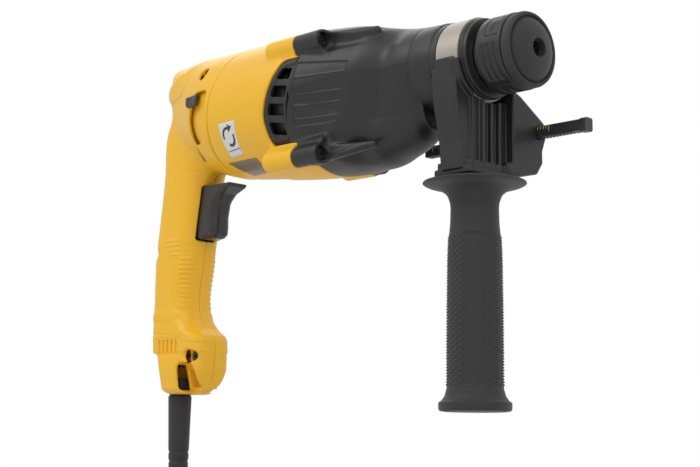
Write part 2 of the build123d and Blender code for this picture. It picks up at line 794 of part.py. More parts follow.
def side_grip():
    """The round grip with a flange at each end."""
    profile = [
        (4.3, 1.0),
        (14.0, 1.0),
        (29.2, -0.2),
        (29.8, FLANGE_Z - 0.6),
        (28.5, FLANGE_Z - 2.2),
        (17.0, -7.0),
        (14.2, -12.0),
        (13.9, -22.0),
        (14.9, -30.0),
        (15.6, -70.0),
        (15.6, -108.0),
        (16.2, -116.0),
        (20.4, -121.6),
        (20.9, -123.4),
        (20.4, -127.0),
        (16.0, GRIP_LOW - 1.6),
        (0.0, GRIP_LOW - 2.0),
        (0.0, -60.0),
        (4.3, -60.0),
    ]
    body = turned_z(profile, HANDLE_X, 0)
    return one(body)


def clamp_bolt():
    """The bolt fixed in the grip; its thread pulls the strap's tang down."""
    bolt = bar_z(4.2 - RUN, -59.5, 38.0, HANDLE_X, 0)
    return one(bolt + Pos(HANDLE_X, 0, -54.0) * extrude(RegularPolygon(4.2, 6), 4))


def depth_rod():
    """Toothed stop rod with a cap at its front end."""
    half = 3.0
    body = box((ROD_BACK, ROD_FRONT - 4.0), (ROD_Y - half, ROD_Y + half), (ROD_Z - 3.2, ROD_Z + 3.4))
    pitch = 2.4
    count = int((ROD_FRONT - 10.0 - ROD_BACK) / pitch)
    for tooth in range(count):
        x = ROD_BACK + 3.0 + tooth * pitch
        body -= box((x, x + pitch / 2), (ROD_Y - 4, ROD_Y + 4), (ROD_Z - 3.4, ROD_Z - 2.5))
    cap = box((ROD_FRONT - 4.2, ROD_FRONT), (ROD_Y - 3.6, ROD_Y + 3.6), (ROD_Z - 3.9, ROD_Z + 4.1))
    return one(body + fillet(cap.edges().filter_by(Axis.X), 1.5))


def rod_button():
    """The button in the lobe that frees the depth rod."""
    return one(bar_y(3.0, 40.5, 48.5, 270.0, BUTTON_Z))


# --- Cord -----------------------------------------------------------------------------------
GUARD_END = -188.0
CORD_LOW = FLOOR_Z + CORD_R + 0.6  # height of a cord that lies on the surface
CORD_ROUTE = [
    (CORD_X, 0.0, -104.0),
    (CORD_X, 0.0, -214.0),
    (27.0, -20.0, -259.0),
    (72.0, -48.0, CORD_LOW),
    (122.0, -62.0, CORD_LOW),
]
TAIL = [(136.0, 39.0, CORD_LOW), (64.0, 39.0, CORD_LOW)]


def cord_guard():
    """The flexible sleeve where the cord leaves the handle, with a collar inside the shells."""
    profile = [
        (CORD_R, -104.0),
        (9.0, -104.2),
        (9.0, -112.3),
        (7.1, -112.3),
        (7.1, -115.6),
        (7.9, -116.4),
        (7.0, -150.0),
        (5.8, GUARD_END),
        (CORD_R, GUARD_END),
    ]
    return one(turned_z(profile, CORD_X, 0))


def cord_clamp():
    clamp = box((-5.0, 11.0), (-8.0, -CORD_R - 0.1), (-97.0, -91.0))
    return one(fillet(clamp.edges().filter_by(Axis.Y), 1.5))


def route_points(points):
    """Corner radii of the route: each arc takes 0.45 of its shorter run."""
    radii = []
    for before, here, after in zip(points, points[1:], points[2:]):
        first = Vector(*here) - Vector(*before)
        second = Vector(*after) - Vector(*here)
        turn = math.radians(first.get_angle(second))
        radii.append(0.45 * min(first.length, second.length) / math.tan(turn / 2))
    return radii


def cord_tube():
    """The cord from the handle down to the coil, and its end from the coil to the plug."""
    radii = route_points(CORD_ROUTE)
    print("cord radii", [round(r, 1) for r in radii])
    path = FilletPolyline(*CORD_ROUTE, radius=radii)
    start = Plane(origin=CORD_ROUTE[0], z_dir=(0, 0, -1))
    radius = CORD_R - 0.02
    main = sweep(start * Circle(radius), path=path)
    print("cord volume over section times length", main.volume / (math.pi * radius**2 * path.length))
    tail = bar_x(radius, TAIL[1][0], TAIL[0][0], TAIL[0][1], TAIL[0][2])
    coil = cord_coil()
    return Compound(children=[one(main - coil), one(tail - coil)])


def cord_coil():
    """The outer shape of the spare cord, wound in a flat coil."""
    x, y = COIL_CENTRE
    low, high = FLOOR_Z, FLOOR_Z + 2 * COIL_HALF
    inner, outer = COIL_MEAN_R - COIL_HALF, COIL_MEAN_R + COIL_HALF
    cut = 7.0
    profile = [
        (inner, low + cut),
        (inner + cut, low),
        (outer - cut, low),
        (outer, low + cut),
        (outer, high - cut),
        (outer - cut, high),
        (inner + cut, high),
        (inner, high - cut),
    ]
    return one(turned_z(profile, x, y))


PLUG_Z = FLOOR_Z + 11.0


def plug_body():
    """Moulded two-pin plug, lying on its side."""
    x = TAIL[1][0]
    body = Pos(x - 36.0, TAIL[0][1], PLUG_Z) * Rot(0, 90, 0) * Cylinder(16.5, 28.0)
    body &= box((x - 60, x), (TAIL[0][1] - 18, TAIL[0][1] + 18), (FLOOR_Z, PLUG_Z + 11.0))
    neck = loft(
        [
            Plane.YZ.offset(x - 22.5) * (Pos(TAIL[0][1], PLUG_Z) * RectangleRounded(26, 20, 7)),
            Plane.YZ.offset(x) * (Pos(TAIL[0][1], TAIL[0][2] + 1.0) * RectangleRounded(11.4, 11.0, 4)),
        ]
    )
    return one(body + neck)


def plug_pins():
    pins = []
    for side in (-1, 1):
        y = TAIL[0][1] + side * 9.5
        pins.append(bar_x(2.4, TAIL[1][0] - 69.0, TAIL[1][0] - 50.0, y, PLUG_Z))
    return Compound(children=pins)


# --- All pieces -----------------------------------------------------------------------------
PARTS = {
    "handle_shell_right": lambda: handle_shell(-1),
    "handle_shell_left": lambda: handle_shell(1),
    "shell_screws": shell_screws,
    "trigger": trigger,
    "trigger_spring": trigger_spring,
    "trigger_switch": trigger_switch,
    "motor_housing": motor_housing,
    "vent_baffle": vent_baffle,
    "stator_core": stator_core,
    "field_windings": field_windings,
    "armature_shaft": armature_shaft,
    "armature_core": armature_core,
    "armature_windings": armature_windings,
    "commutator": commutator,
    "fan": fan,
    "rear_armature_bearing": lambda: sealed_bearing(9.5, 4.0 + RUN, 67.5, 73.5, MOTOR_Z),
    "front_armature_bearing": lambda: sealed_bearing(11.0, 5.0 + RUN, 146.0, 153.4, MOTOR_Z),
    "brush_ring": brush_ring,
    "brush_holders": brush_holders,
    "carbon_brushes": carbon_brushes,
    "brush_springs": brush_springs,
    "gear_housing": gear_housing,
    "gear_housing_screws": gear_housing_screws,
    "inner_housing": inner_housing,
    "intermediate_shaft": intermediate_shaft,
    "large_gear": large_gear,
    "wobble_hub": wobble_hub,
    "wobble_balls": wobble_balls,
    "wobble_ring": wobble_ring,
    "rear_shaft_bearing": lambda: sealed_bearing(9.5, 5.0 + RUN, 152.8, 158.6, SHAFT_Z),
    "front_shaft_bearing": lambda: sealed_bearing(8.0, 4.0 + RUN, 210.0, 216.4, SHAFT_Z),
    "piston": piston,
    "trunnion": trunnion,
    "striker": striker,
    "beat_piece": beat_piece,
    "spindle": spindle,
    "spindle_gear": spindle_gear,
    "clutch_spring": clutch_spring,
    "locking_balls": locking_balls,
    "spindle_bearing": lambda: sealed_bearing(21.0, 13.5 + RUN, 240.0, 252.0, SPINDLE_Z),
    "spindle_seal": spindle_seal,
    "nose_collar": nose_collar,
    "lock_sleeve": lock_sleeve,
    "sleeve_spring": sleeve_spring,
    "nose_cap": nose_cap,
    "mode_knob": mode_knob,
    "lock_button": lock_button,
    "bracket": bracket,
    "strap_band": strap_band,
    "side_grip": side_grip,
    "clamp_bolt": clamp_bolt,
    "depth_rod": depth_rod,
    "rod_button": rod_button,
    "cord_guard": cord_guard,
    "cord_clamp": cord_clamp,
    "cord_tube": cord_tube,
    "cord_coil": cord_coil,
    "plug_body": plug_body,
    "plug_pins": plug_pins,
}

os.makedirs("parts", exist_ok=True)
for name, make in PARTS.items():
    export_step(make(), f"parts/{name}.step")
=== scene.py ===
import json
import math

import bmesh
import bpy
import numpy as np
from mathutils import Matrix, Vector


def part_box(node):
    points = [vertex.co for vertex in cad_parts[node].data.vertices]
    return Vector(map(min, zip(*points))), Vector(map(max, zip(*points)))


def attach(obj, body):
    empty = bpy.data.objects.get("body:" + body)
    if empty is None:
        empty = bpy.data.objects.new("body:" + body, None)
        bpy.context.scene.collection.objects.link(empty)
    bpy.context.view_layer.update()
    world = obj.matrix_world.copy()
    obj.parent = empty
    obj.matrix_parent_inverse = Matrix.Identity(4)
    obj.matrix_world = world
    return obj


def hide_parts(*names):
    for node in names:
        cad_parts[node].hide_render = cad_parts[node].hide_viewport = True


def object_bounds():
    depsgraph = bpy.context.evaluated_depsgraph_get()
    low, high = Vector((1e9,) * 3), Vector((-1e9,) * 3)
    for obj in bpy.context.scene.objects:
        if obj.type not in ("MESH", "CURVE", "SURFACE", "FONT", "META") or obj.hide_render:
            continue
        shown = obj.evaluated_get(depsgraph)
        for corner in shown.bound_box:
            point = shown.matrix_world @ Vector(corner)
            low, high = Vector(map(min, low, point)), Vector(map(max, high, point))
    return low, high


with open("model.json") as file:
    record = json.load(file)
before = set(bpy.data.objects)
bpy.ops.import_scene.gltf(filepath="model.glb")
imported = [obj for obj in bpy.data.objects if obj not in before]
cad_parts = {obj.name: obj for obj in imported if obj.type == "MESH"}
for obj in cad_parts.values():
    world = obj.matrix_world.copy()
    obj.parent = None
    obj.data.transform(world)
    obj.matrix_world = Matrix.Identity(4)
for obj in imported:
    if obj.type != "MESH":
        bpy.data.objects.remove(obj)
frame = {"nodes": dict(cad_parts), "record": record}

import openvdb
from mathutils import Matrix, Vector

# Looks of the rotary hammer. Shapes are worked out in millimetres in the row's frame and stored
# in metres. The moulded pieces are distance fields: a field is below 0 inside the piece, so a
# rib or a recess is a small change to it near the surface.

MM = 0.001
CAD_BOUNDS = [list(corner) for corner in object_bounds()]

# --- Driving dimensions, mm ---
SPINDLE_Z = 70.0
MOTOR_Z = 65.0
SHELL_END = 76.0
SEAM = 150.0
NECK = 235.0
HANDLE_X = 263.0
ROD_Y = 42.0
ROD_Z = 32.8
CORD_X = 1.5
CORD_R = 4.0
FLOOR_Z = -268.0
CORD_LOW = FLOOR_Z + CORD_R + 0.6
WALL = 2.6  # thickness of the moulded shells
STEP = 0.45  # sampling of a field


# --- Small tools ---
def smooth_min(a, b, k):
    h = np.maximum(k - np.abs(a - b), 0) / k
    return np.minimum(a, b) - h * h * k * 0.25


def smooth_max(a, b, k):
    return -smooth_min(-a, -b, k)


def between(t, low, high):
    return np.maximum(low - t, t - high)


def rounded_rect(u, v, half_u, half_v, corner):
    """Distance to a rounded rectangle centred at 0."""
    du = np.abs(u) - half_u + corner
    dv = np.abs(v) - half_v + corner
    outside = np.hypot(np.maximum(du, 0), np.maximum(dv, 0))
    return np.minimum(np.maximum(du, dv), 0) + outside - corner


def capsule(u, v, start, end, radius):
    """Distance to a line from start to end with round ends."""
    du, dv = end[0] - start[0], end[1] - start[1]
    t = np.clip(((u - start[0]) * du + (v - start[1]) * dv) / (du * du + dv * dv), 0, 1)
    return np.hypot(u - start[0] - t * du, v - start[1] - t * dv) - radius


def polyline(u, v, points, radius):
    """Distance to a chain of lines."""
    found = capsule(u, v, points[0], points[1], radius)
    for start, end in zip(points[1:], points[2:]):
        found = np.minimum(found, capsule(u, v, start, end, radius))
    return found


def polygon(u, v, points):
    """Signed distance to a closed outline."""
    away = None
    inside = None
    for start, end in zip(points, points[1:] + points[:1]):
        side = capsule(u, v, start, end, 0.0)
        away = side if away is None else np.minimum(away, side)
        low, high = (start, end) if start[1] < end[1] else (end, start)
        rise = max(high[1] - low[1], 1e-9)
        edge = low[0] + (v - low[1]) * (high[0] - low[0]) / rise
        crossed = (v >= low[1]) & (v < high[1]) & (u < edge)
        inside = crossed if inside is None else inside ^ crossed
    return np.where(inside, -away, away)


def mask(distance, soft=0.5):
    """1 inside a region and 0 outside, with a soft edge."""
    t = np.clip(0.5 - distance / soft, 0, 1)
    return t * t * (3 - 2 * t)


def along(t, stations, column):
    """A column of the stations, on a smooth curve through them."""
    at = np.array([s[0] for s in stations], float)
    values = np.array([s[column] for s in stations], float)
    slope = np.gradient(values, at)
    flat = np.sign(np.diff(values, prepend=values[0])) * np.sign(np.diff(values, append=values[-1])) <= 0
    slope[flat] = 0
    t = np.clip(t, at[0], at[-1])
    i = np.clip(np.searchsorted(at, t) - 1, 0, len(at) - 2)
    span = at[i + 1] - at[i]
    s = (t - at[i]) / span
    low = (2 * s**3 - 3 * s**2 + 1) * values[i] + (s**3 - 2 * s**2 + s) * span * slope[i]
    return low + (3 * s**2 - 2 * s**3) * values[i + 1] + (s**3 - s**2) * span * slope[i + 1]


def straight(t, stations, column):
    return np.interp(t, [s[0] for s in stations], [s[column] for s in stations])


def placed(name, data, body, material):
    """Puts a mesh or curve in the scene, on its body and in its material slot."""
    piece = bpy.data.objects.new(name, data)
    bpy.context.scene.collection.objects.link(piece)
    data.materials.append(material)
    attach(piece, body)
    return piece


def new_piece(name, points, faces, body, material, smooth=True):
    mesh = bpy.data.meshes.new(name)
    mesh.from_pydata([tuple(p) for p in points], [], [tuple(f) for f in faces])
    mesh.validate()
    mesh.polygons.foreach_set("use_smooth", [smooth] * len(mesh.polygons))
    outward(mesh)
    return placed(name, mesh, body, material)


def band(lower, upper, count):
    """The faces between two closed rings of points, from where each ring starts."""
    steps = [(step, (step + 1) % count) for step in range(count)]
    return [(lower + step, lower + ahead, upper + ahead, upper + step) for step, ahead in steps]


def solid(name, low, high, field, body, material, step=STEP):
    """A closed mesh of the surface where field(x, y, z) is 0, inside a block, all in mm."""
    axes = [np.arange(a - 2.5 * step, b + 3 * step, step) for a, b in zip(low, high)]
    x, y, z = np.meshgrid(*axes, indexing="ij", sparse=True)
    shape = tuple(len(a) for a in axes)
    values = np.broadcast_to(field(x, y, z), shape)
    limit = 3 * step
    grid = openvdb.FloatGrid(limit)
    grid.copyFromArray(np.clip(values, -limit, limit).astype(np.float32))
    points, triangles, quads = grid.convertToPolygons(0.0, 0.0)
    origin = np.array([a[0] for a in axes])
    points = (np.array(points) * step + origin) * MM
    mesh = bpy.data.meshes.new(name)
    corners = np.concatenate([np.array(quads).ravel(), np.array(triangles).ravel()]).astype(np.int32)
    counts = np.concatenate([np.full(len(quads), 4), np.full(len(triangles), 3)]).astype(np.int32)
    mesh.vertices.add(len(points))
    mesh.vertices.foreach_set("co", points.astype(np.float32).ravel())
    mesh.loops.add(len(corners))
    mesh.loops.foreach_set("vertex_index", corners)
    mesh.polygons.add(len(counts))
    starts = np.concatenate([[0], np.cumsum(counts)[:-1]]).astype(np.int32)
    mesh.polygons.foreach_set("loop_start", starts)
    mesh.update(calc_edges=True)
    outward(mesh)
    mesh.polygons.foreach_set("use_smooth", np.ones(len(counts), bool))
    return placed(name, mesh, body, material)


def outward(mesh):
    """Turns the faces so that the mesh's volume is positive."""
    work = bmesh.new()
    work.from_mesh(mesh)
    if work.calc_volume(signed=True) < 0:
        bmesh.ops.reverse_faces(work, faces=work.faces)
    work.to_mesh(mesh)
    work.free()


def rounded_profile(points, radius, count=4):
    """The (a, b) points of an outline, with its corners rounded."""
    result = []
    total = len(points)
    for index, here in enumerate(points):
        here = Vector(here)
        before = Vector(points[index - 1]) - here
        after = Vector(points[(index + 1) % total]) - here
        reach = min(radius, 0.45 * before.length, 0.45 * after.length)
        start = here + before.normalized() * reach
        end = here + after.normalized() * reach
        for step in range(count + 1):
            t = step / count
            result.append((1 - t) ** 2 * start + 2 * t * (1 - t) * here + t * t * end)
    return result


def turned(name, points, body, material, axis="X", at=(0, 0), radius=0.5, turns=128):
    """A turned piece from a closed outline of (place along the axis, radius) points."""
    outline = rounded_profile(points, radius)
    places = []
    for index in range(turns):
        angle = 2 * math.pi * index / turns
        for a, r in outline:
            u, v = r * math.cos(angle), r * math.sin(angle)
            if axis == "X":
                places.append(Vector((a, at[0] + u, at[1] + v)) * MM)
            else:
                places.append(Vector((at[0] + u, at[1] + v, a)) * MM)
    count = len(outline)
    faces = []
    for index in range(turns):
        faces += band(index * count, (index + 1) % turns * count, count)
    return new_piece(name, places, faces, body, material)


# --- Materials ---
def put(node, values):
    """Sets a node's inputs by name."""
    for name, value in values.items():
        node.inputs[name].default_value = value
    return node


def colour_mix(nodes, values, mode="MIX"):
    node = nodes.new("ShaderNodeMix")
    node.data_type = "RGBA"
    node.blend_type = mode
    return put(node, values)


def node_material(name, colour, rough, metallic=0.0, grain=2600.0, bump=0.05, vary=0.08,
                  rough_vary=0.12, edge=0.0, coat=0.0, sheen=0.0):
    """Moulded or machined surface: fine grain, slow colour change, uneven gloss, and a painted highlight
    that lightens sharp edges.
    """
    material = bpy.data.materials.new(name)
    material.use_nodes = True
    nodes, links = material.node_tree.nodes, material.node_tree.links
    shader = put(nodes["Principled BSDF"], {"Metallic": metallic, "Coat Weight": coat,
                                            "Coat Roughness": 0.25, "Sheen Weight": sheen})
    place = nodes.new("ShaderNodeTexCoord")

    slow = put(nodes.new("ShaderNodeTexNoise"), {"Scale": 22.0, "Detail": 3.0})
    links.new(place.outputs["Object"], slow.inputs["Vector"])
    blend = colour_mix(nodes, {"A": [c * (1 - vary) for c in colour] + [1],
                               "B": [min(1, c * (1 + vary)) for c in colour] + [1]})
    links.new(slow.outputs["Fac"], blend.inputs["Factor"])

    fine = put(nodes.new("ShaderNodeTexNoise"), {"Scale": grain, "Detail": 2.0})
    links.new(place.outputs["Object"], fine.inputs["Vector"])
    speck = colour_mix(nodes, {"Factor": 0.15}, "MULTIPLY")
    links.new(blend.outputs["Result"], speck.inputs["A"])
    links.new(fine.outputs["Fac"], speck.inputs["B"])
    last = speck.outputs["Result"]

    # Painted highlight: sharp edges, found by pointiness, are mixed toward a lighter copy of the base
    # colour, standing in for light caught on them.
    if edge:
        shape = nodes.new("ShaderNodeNewGeometry")
        sharp = put(nodes.new("ShaderNodeMapRange"),
                    {"From Min": 0.53, "From Max": 0.62, "To Max": edge})
        links.new(shape.outputs["Pointiness"], sharp.inputs["Value"])
        painted_edge_highlight = colour_mix(nodes, {"B": [min(1, 0.08 + c * 1.5) for c in colour] + [1]})
        links.new(sharp.outputs["Result"], painted_edge_highlight.inputs["Factor"])
        links.new(last, painted_edge_highlight.inputs["A"])
        last = painted_edge_highlight.outputs["Result"]
    links.new(last, shader.inputs["Base Color"])

    gloss = put(nodes.new("ShaderNodeMapRange"), {"To Min": max(0.03, rough - rough_vary),
                                                  "To Max": min(1.0, rough + rough_vary)})
    links.new(slow.outputs["Fac"], gloss.inputs["Value"])
    links.new(gloss.outputs["Result"], shader.inputs["Roughness"])

    relief = put(nodes.new("ShaderNodeBump"), {"Strength": bump, "Distance": 0.0003})
    links.new(fine.outputs["Fac"], relief.inputs["Height"])
    links.new(relief.outputs["Normal"], shader.inputs["Normal"])
    return material


def brushed_material(name, colour, rough, stretch):
    """Machined metal with fine turning marks; stretch is the marks' scale along X, Y and Z."""
    material = node_material(name, colour, rough, metallic=1.0, grain=1500.0, bump=0.04)
    nodes, links = material.node_tree.nodes, material.node_tree.links
    lines = put(nodes.new("ShaderNodeTexNoise"), {"Scale": 1.0, "Detail": 4.0})
    scaled = put(nodes.new("ShaderNodeMapping"), {"Scale": stretch})
    links.new(nodes["Texture Coordinate"].outputs["Object"], scaled.inputs["Vector"])
    links.new(scaled.outputs["Vector"], lines.inputs["Vector"])
    relief = put(nodes["Bump"], {"Strength": 0.12})
    links.new(lines.outputs["Fac"], relief.inputs["Height"])
    return material


# edge sets the strength of each material's painted edge highlight.
YELLOW = node_material("yellow_plastic", (1.0, 0.545, 0.014), 0.40, bump=0.08, vary=0.025,
                       rough_vary=0.06, edge=0.12, coat=0.05)
CHARCOAL = node_material("black_plastic", (0.020, 0.020, 0.021), 0.40, bump=0.16, vary=0.10,
                         rough_vary=0.08, edge=0.25)
DARK_GREY = node_material("grey_plastic", (0.055, 0.055, 0.060), 0.45, bump=0.12, edge=0.2)
RUBBER = node_material("black_rubber", (0.022, 0.022, 0.024), 0.62, grain=1800.0, bump=0.16,
                       vary=0.12, rough_vary=0.08, edge=0.3, sheen=0.12)
STRAP = node_material("strap_steel", (0.47, 0.43, 0.37), 0.42, metallic=0.55, grain=900.0,
                      bump=0.06, vary=0.06, rough_vary=0.08)
GROUND = brushed_material("gear_steel", (0.55, 0.55, 0.57), 0.30, (2400, 120, 120))
BLACK_STEEL = brushed_material("screw_steel", (0.16, 0.16, 0.17), 0.30, (900, 900, 900))
SPRING = brushed_material("spring_steel", (0.40, 0.40, 0.42), 0.32, (1500, 300, 300))
SHEETS = brushed_material("laminations", (0.28, 0.28, 0.30), 0.42, (5200, 40, 40))
COPPER = brushed_material("copper", (0.72, 0.30, 0.13), 0.33, (300, 2600, 300))
BRASS = brushed_material("brass", (0.74, 0.55, 0.24), 0.30, (600, 600, 600))
ALLOY = brushed_material("alloy", (0.60, 0.61, 0.63), 0.45, (500, 500, 500))
CARBON = node_material("carbon", (0.05, 0.05, 0.055), 0.70, bump=0.25, vary=0.2)
PLATED = brushed_material("plated_pins", (0.78, 0.78, 0.76), 0.16, (1800, 200, 200))
GLOSS_BLACK = node_material("trigger_plastic", (0.022, 0.021, 0.022), 0.27, bump=0.05, vary=0.08,
                            rough_vary=0.05, edge=0.15, coat=0.2)
LABEL_WHITE = node_material("label_paper", (0.80, 0.80, 0.80), 0.35, bump=0.03, vary=0.02)
PLATE_GREY = node_material("plate_print", (0.20, 0.17, 0.13), 0.35, bump=0.03, vary=0.2, coat=0.2)
SCALE_YELLOW = node_material("scale_paint", (0.80, 0.58, 0.06), 0.5, bump=0.1)

SLOT_MATERIALS = {
    "yellow_plastic": YELLOW,
    "black_plastic": CHARCOAL,
    "grey_plastic": DARK_GREY,
    "black_rubber": RUBBER,
    "gear_steel": GROUND,
    "screw_steel": BLACK_STEEL,
    "strap_steel": STRAP,
    "spring_steel": SPRING,
    "laminations": SHEETS,
    "copper": COPPER,
    "brass": BRASS,
    "alloy": ALLOY,
    "carbon": CARBON,
    "plated_pins": PLATED,
}


def paint_nodes():
    """Gives every CAD node the material of its slot in the record."""
    for part in frame["record"]["subparts"]:
        mesh = frame["nodes"][part["node"]].data
        mesh.materials.clear()
        mesh.materials.append(SLOT_MATERIALS[part["material_slot"]])


# --- Handle shells ---
HEAD = [  # x, half width, bottom, top, corner
    (-6.0, 8.0, 100.0, 109.0, 4.4),
    (4.0, 12.5, 92.0, 110.8, 9.2),
    (13.0, 17.0, 80.0, 110.8, 14.5),
    (24.0, 23.5, 61.0, 111.0, 20.5),
    (44.0, 35.5, 36.0, 110.8, 33.5),
    (66.0, 42.2, 25.8, 110.6, 41.6),
    (SHELL_END, 42.9, 24.7, 110.5, 42.6),
    (90.0, 43.8, 22.9, 110.5, 43.6),
]
GRIP = [  # z, back, front, half width, corner
    (-66.0, -16.4, 20.8, 17.0, 13.0),
    (-50.0, -16.8, 19.9, 16.5, 13.5),
    (-28.0, -17.0, 23.5, 16.5, 14.0),
    (0.0, -14.0, 28.0, 16.5, 14.5),
    (31.0, -9.3, 32.0, 17.0, 14.5),
    (62.0, -8.0, 32.0, 16.5, 14.0),
    (84.0, -1.5, 30.0, 14.0, 12.0),
]
FOOT = [  # the same columns
    (-115.2, -2.0, 28.0, 12.5, 8.0),
    (-112.0, -5.5, 32.5, 15.0, 9.0),
    (-99.0, -8.6, 37.0, 16.5, 11.0),
    (-88.5, -11.5, 37.6, 16.5, 12.0),
    (-87.0, -15.4, 38.0, 17.0, 12.0),
    (-79.5, -16.2, 37.4, 17.0, 12.0),
    (-76.5, -16.2, 35.6, 17.0, 12.0),
    (-72.0, -16.3, 28.6, 17.0, 12.5),
    (-66.0, -16.4, 23.2, 17.0, 13.0),
    (-60.0, -16.5, 20.9, 17.0, 13.0),
]
SHELL_SCREWS = [(60.5, 92.0), (45.5, 41.0), (-9.5, -19.0), (30.5, -90.5)]
TRIGGER_TOP = 24.2
TRIGGER_LOW = -11.6
TRIGGER_HALF = 8.0


def head_field(x, y, z):
    half, bottom, top, corner = (along(x, HEAD, column) for column in (1, 2, 3, 4))
    section = rounded_rect(y, z - (top + bottom) / 2, half, (top - bottom) / 2, corner)
    return smooth_max(section, -6.0 - x, 5.0)


def level_field(x, y, z, stations, place):
    back, front, half, corner = (place(z, stations, column) for column in (1, 2, 3, 4))
    section = rounded_rect(x - (back + front) / 2, y, (front - back) / 2, half, corner)
    return smooth_max(section, between(z, stations[0][0], stations[-1][0]), 3.0)


def handle_outside(x, y, z):
    found = smooth_min(head_field(x, y, z), level_field(x, y, z, GRIP, along), 30.0)
    return smooth_min(found, level_field(x, y, z, FOOT, straight), 2.0)


def grip_details(x, z):
    """Height of the raised and cut details on the grip's sides, over x and z."""
    border = [(2, -9), (2, -16), (8, -26), (12, -36), (9.5, -54), (14, -58.5), (45, -60)]
    top = [(2, -9), (11, -9), (20, -16), (28, -19.5), (48, -20)]
    height = -0.45 * mask(polyline(x, z, border, 0.25), 0.9)
    height = height - 0.45 * mask(polyline(x, z, top, 0.25), 0.9)
    ribs = 0.62 * (0.5 + 0.5 * np.cos(2 * np.pi * (z + 12.0) / 3.15)) ** 1.5
    long_rows = np.maximum(15.0 + 0.005 * (z + 38) ** 2 - x, between(z, -57.0, -22.0))
    short_rows = rounded_rect(x - 9.5, z + 17.0, 6.0, 6.6, 2.0)
    height = height + ribs * mask(np.minimum(long_rows, short_rows), 1.6)
    lines = [(35, 35), (20, 33), (18, 28), (16.5, -5), (21, -9), (31, -12)]
    height = height - 0.35 * mask(polyline(x, z, lines, 0.25), 0.9)
    corner = [(14.5, 78), (13.5, 54), (30, 49.5)]
    return height - 0.3 * mask(polyline(x, z, corner, 0.25), 0.9)


def foot_details(x, z):
    """The band's step lines and the panel of five slots."""
    edge = [(-20, -74.0), (16, -76.5), (22, -80.5), (30, -82.0), (60, -82.5)]
    height = -0.55 * mask(polyline(x, z, edge, 0.3), 0.9)
    panel = rounded_rect(x - 7.5, z + 84.0, 13.0, 6.4, 1.5)
    height = height - 0.5 * mask(panel, 0.6)
    for index in range(5):
        slot = rounded_rect(x - (-2.0 + 4.4 * index), z + 83.6, 0.9, 4.6, 0.8)
        height = height - 1.6 * mask(slot, 0.6)
    return height


def horn_details(x, z):
    panel = rounded_rect(x - 19.0, z - 91.0, 17.0, 8.5, 7.0)
    return 0.7 * mask(panel, 1.2)


def screw_recess(found, x, y, z):
    """Funnels over the screws on the right side, opening to the rear."""
    for screw_x, screw_z in SHELL_SCREWS:
        hole = np.hypot(x - screw_x, z - screw_z) - 3.7
        surface = screw_face(screw_x, screw_z)
        hole = np.maximum(hole, y - (surface + 7.0))
        slope = np.hypot(x - screw_x + 2.0, z - screw_z) - 3.9 + 0.45 * (y - surface)
        slope = np.maximum(slope, y - (surface + 6.0))
        found = smooth_max(found, -smooth_min(hole, slope, 1.5), 1.6)
    return found


def screw_face(screw_x, screw_z):
    """Where the right side's surface is over a screw."""
    y = np.arange(-46.0, -4.0, 0.1)
    inside = handle_outside(np.full_like(y, screw_x), y, np.full_like(y, screw_z)) < 0
    return float(y[np.argmax(inside)])


def trigger_mouth(x, y, z):
    sides = np.abs(y) - TRIGGER_HALF - 0.35
    ends = between(z, TRIGGER_LOW - 0.4, TRIGGER_TOP + 0.4)
    return np.maximum(smooth_max(sides, ends, 2.0), 14.0 - x)


def shell_seam(z):
    """The shells' front edge, which leans forward towards the top."""
    return SHELL_END + 0.25 * np.clip(z - 70.0, -46.0, 41.0)


def handle_field(side):
    """One shell; side is -1 for the user's right and 1 for the left."""

    def field(x, y, z):
        outer = handle_outside(x, y, z)
        facing = np.clip(np.abs(y) / 7.0 - 0.6, 0, 1)
        outer = outer - facing * (z < 60) * grip_details(x, z)
        outer = outer - facing * (z < -70) * foot_details(x, z)
        outer = outer - np.clip(np.abs(y) / 4.0 - 1, 0, 1) * horn_details(x, z)
        inner = handle_outside(x, y, z) + WALL
        foot_core = np.maximum(between(x, 16.5, 60), z + 94.0)
        inner = np.maximum(inner, -foot_core)
        ends = np.hypot(y, z - 68.2) - 38.0
        inner = np.minimum(inner, np.maximum(ends, 60.0 - x))
        found = np.maximum(outer, -inner)
        for screw_x, screw_z in SHELL_SCREWS:
            boss = np.maximum(np.hypot(x - screw_x, z - screw_z) - 5.0, outer)
            found = np.minimum(found, boss)
        window = rounded_rect(x - 25.0, z + 104.75, 5.5, 5.25, 1.5)
        hollow = rounded_rect(x - 24.0, z + 104.5, 7.5, 9.5, 4.0)
        hollow = np.maximum(hollow, 7.0 - np.abs(y) + 0.25 * (z + 104))
        found = smooth_max(found, -smooth_min(window, hollow, 4.0), 2.2)
        found = smooth_max(found, -trigger_mouth(x, y, z), 1.2)
        exit_hole = np.maximum(np.hypot(x - CORD_X, y) - 8.1, z + 100.0)
        found = smooth_max(found, -exit_hole, 0.8)
        if side < 0:
            found = screw_recess(found, x, y, z)
            found = reversing_slot(found, outer, x, y, z)
        found = smooth_max(found, 0.08 - side * y, 0.7)
        return smooth_max(found, x - shell_seam(z) + 0.12, 0.9)

    return field


def reversing_slot(found, outer, x, y, z):
    """The curved recess of the reversing tab, open to the inside along its rear edge."""
    rear = 48.0 + 0.017 * (z - 52.0) ** 2
    front = 72.0 - 0.016 * (z - 73.0) ** 2
    window = smooth_max(smooth_max(rear - x, x - front, 1.5), between(z, 46.0, 78.5), 3.0)
    pocket = np.maximum(window, -(outer + 3.4))
    pocket = np.maximum(pocket, y + 20.0)
    floor = np.maximum(window - 1.5, np.abs(outer + 4.6) - 1.2)
    floor = np.maximum(floor, y + 20.0)
    gap = np.maximum(window, x - rear - 2.4)
    gap = np.maximum(gap, y + 25.0)
    found = smooth_max(found, -pocket, 0.8)
    found = np.minimum(found, floor)
    return np.maximum(found, -gap)


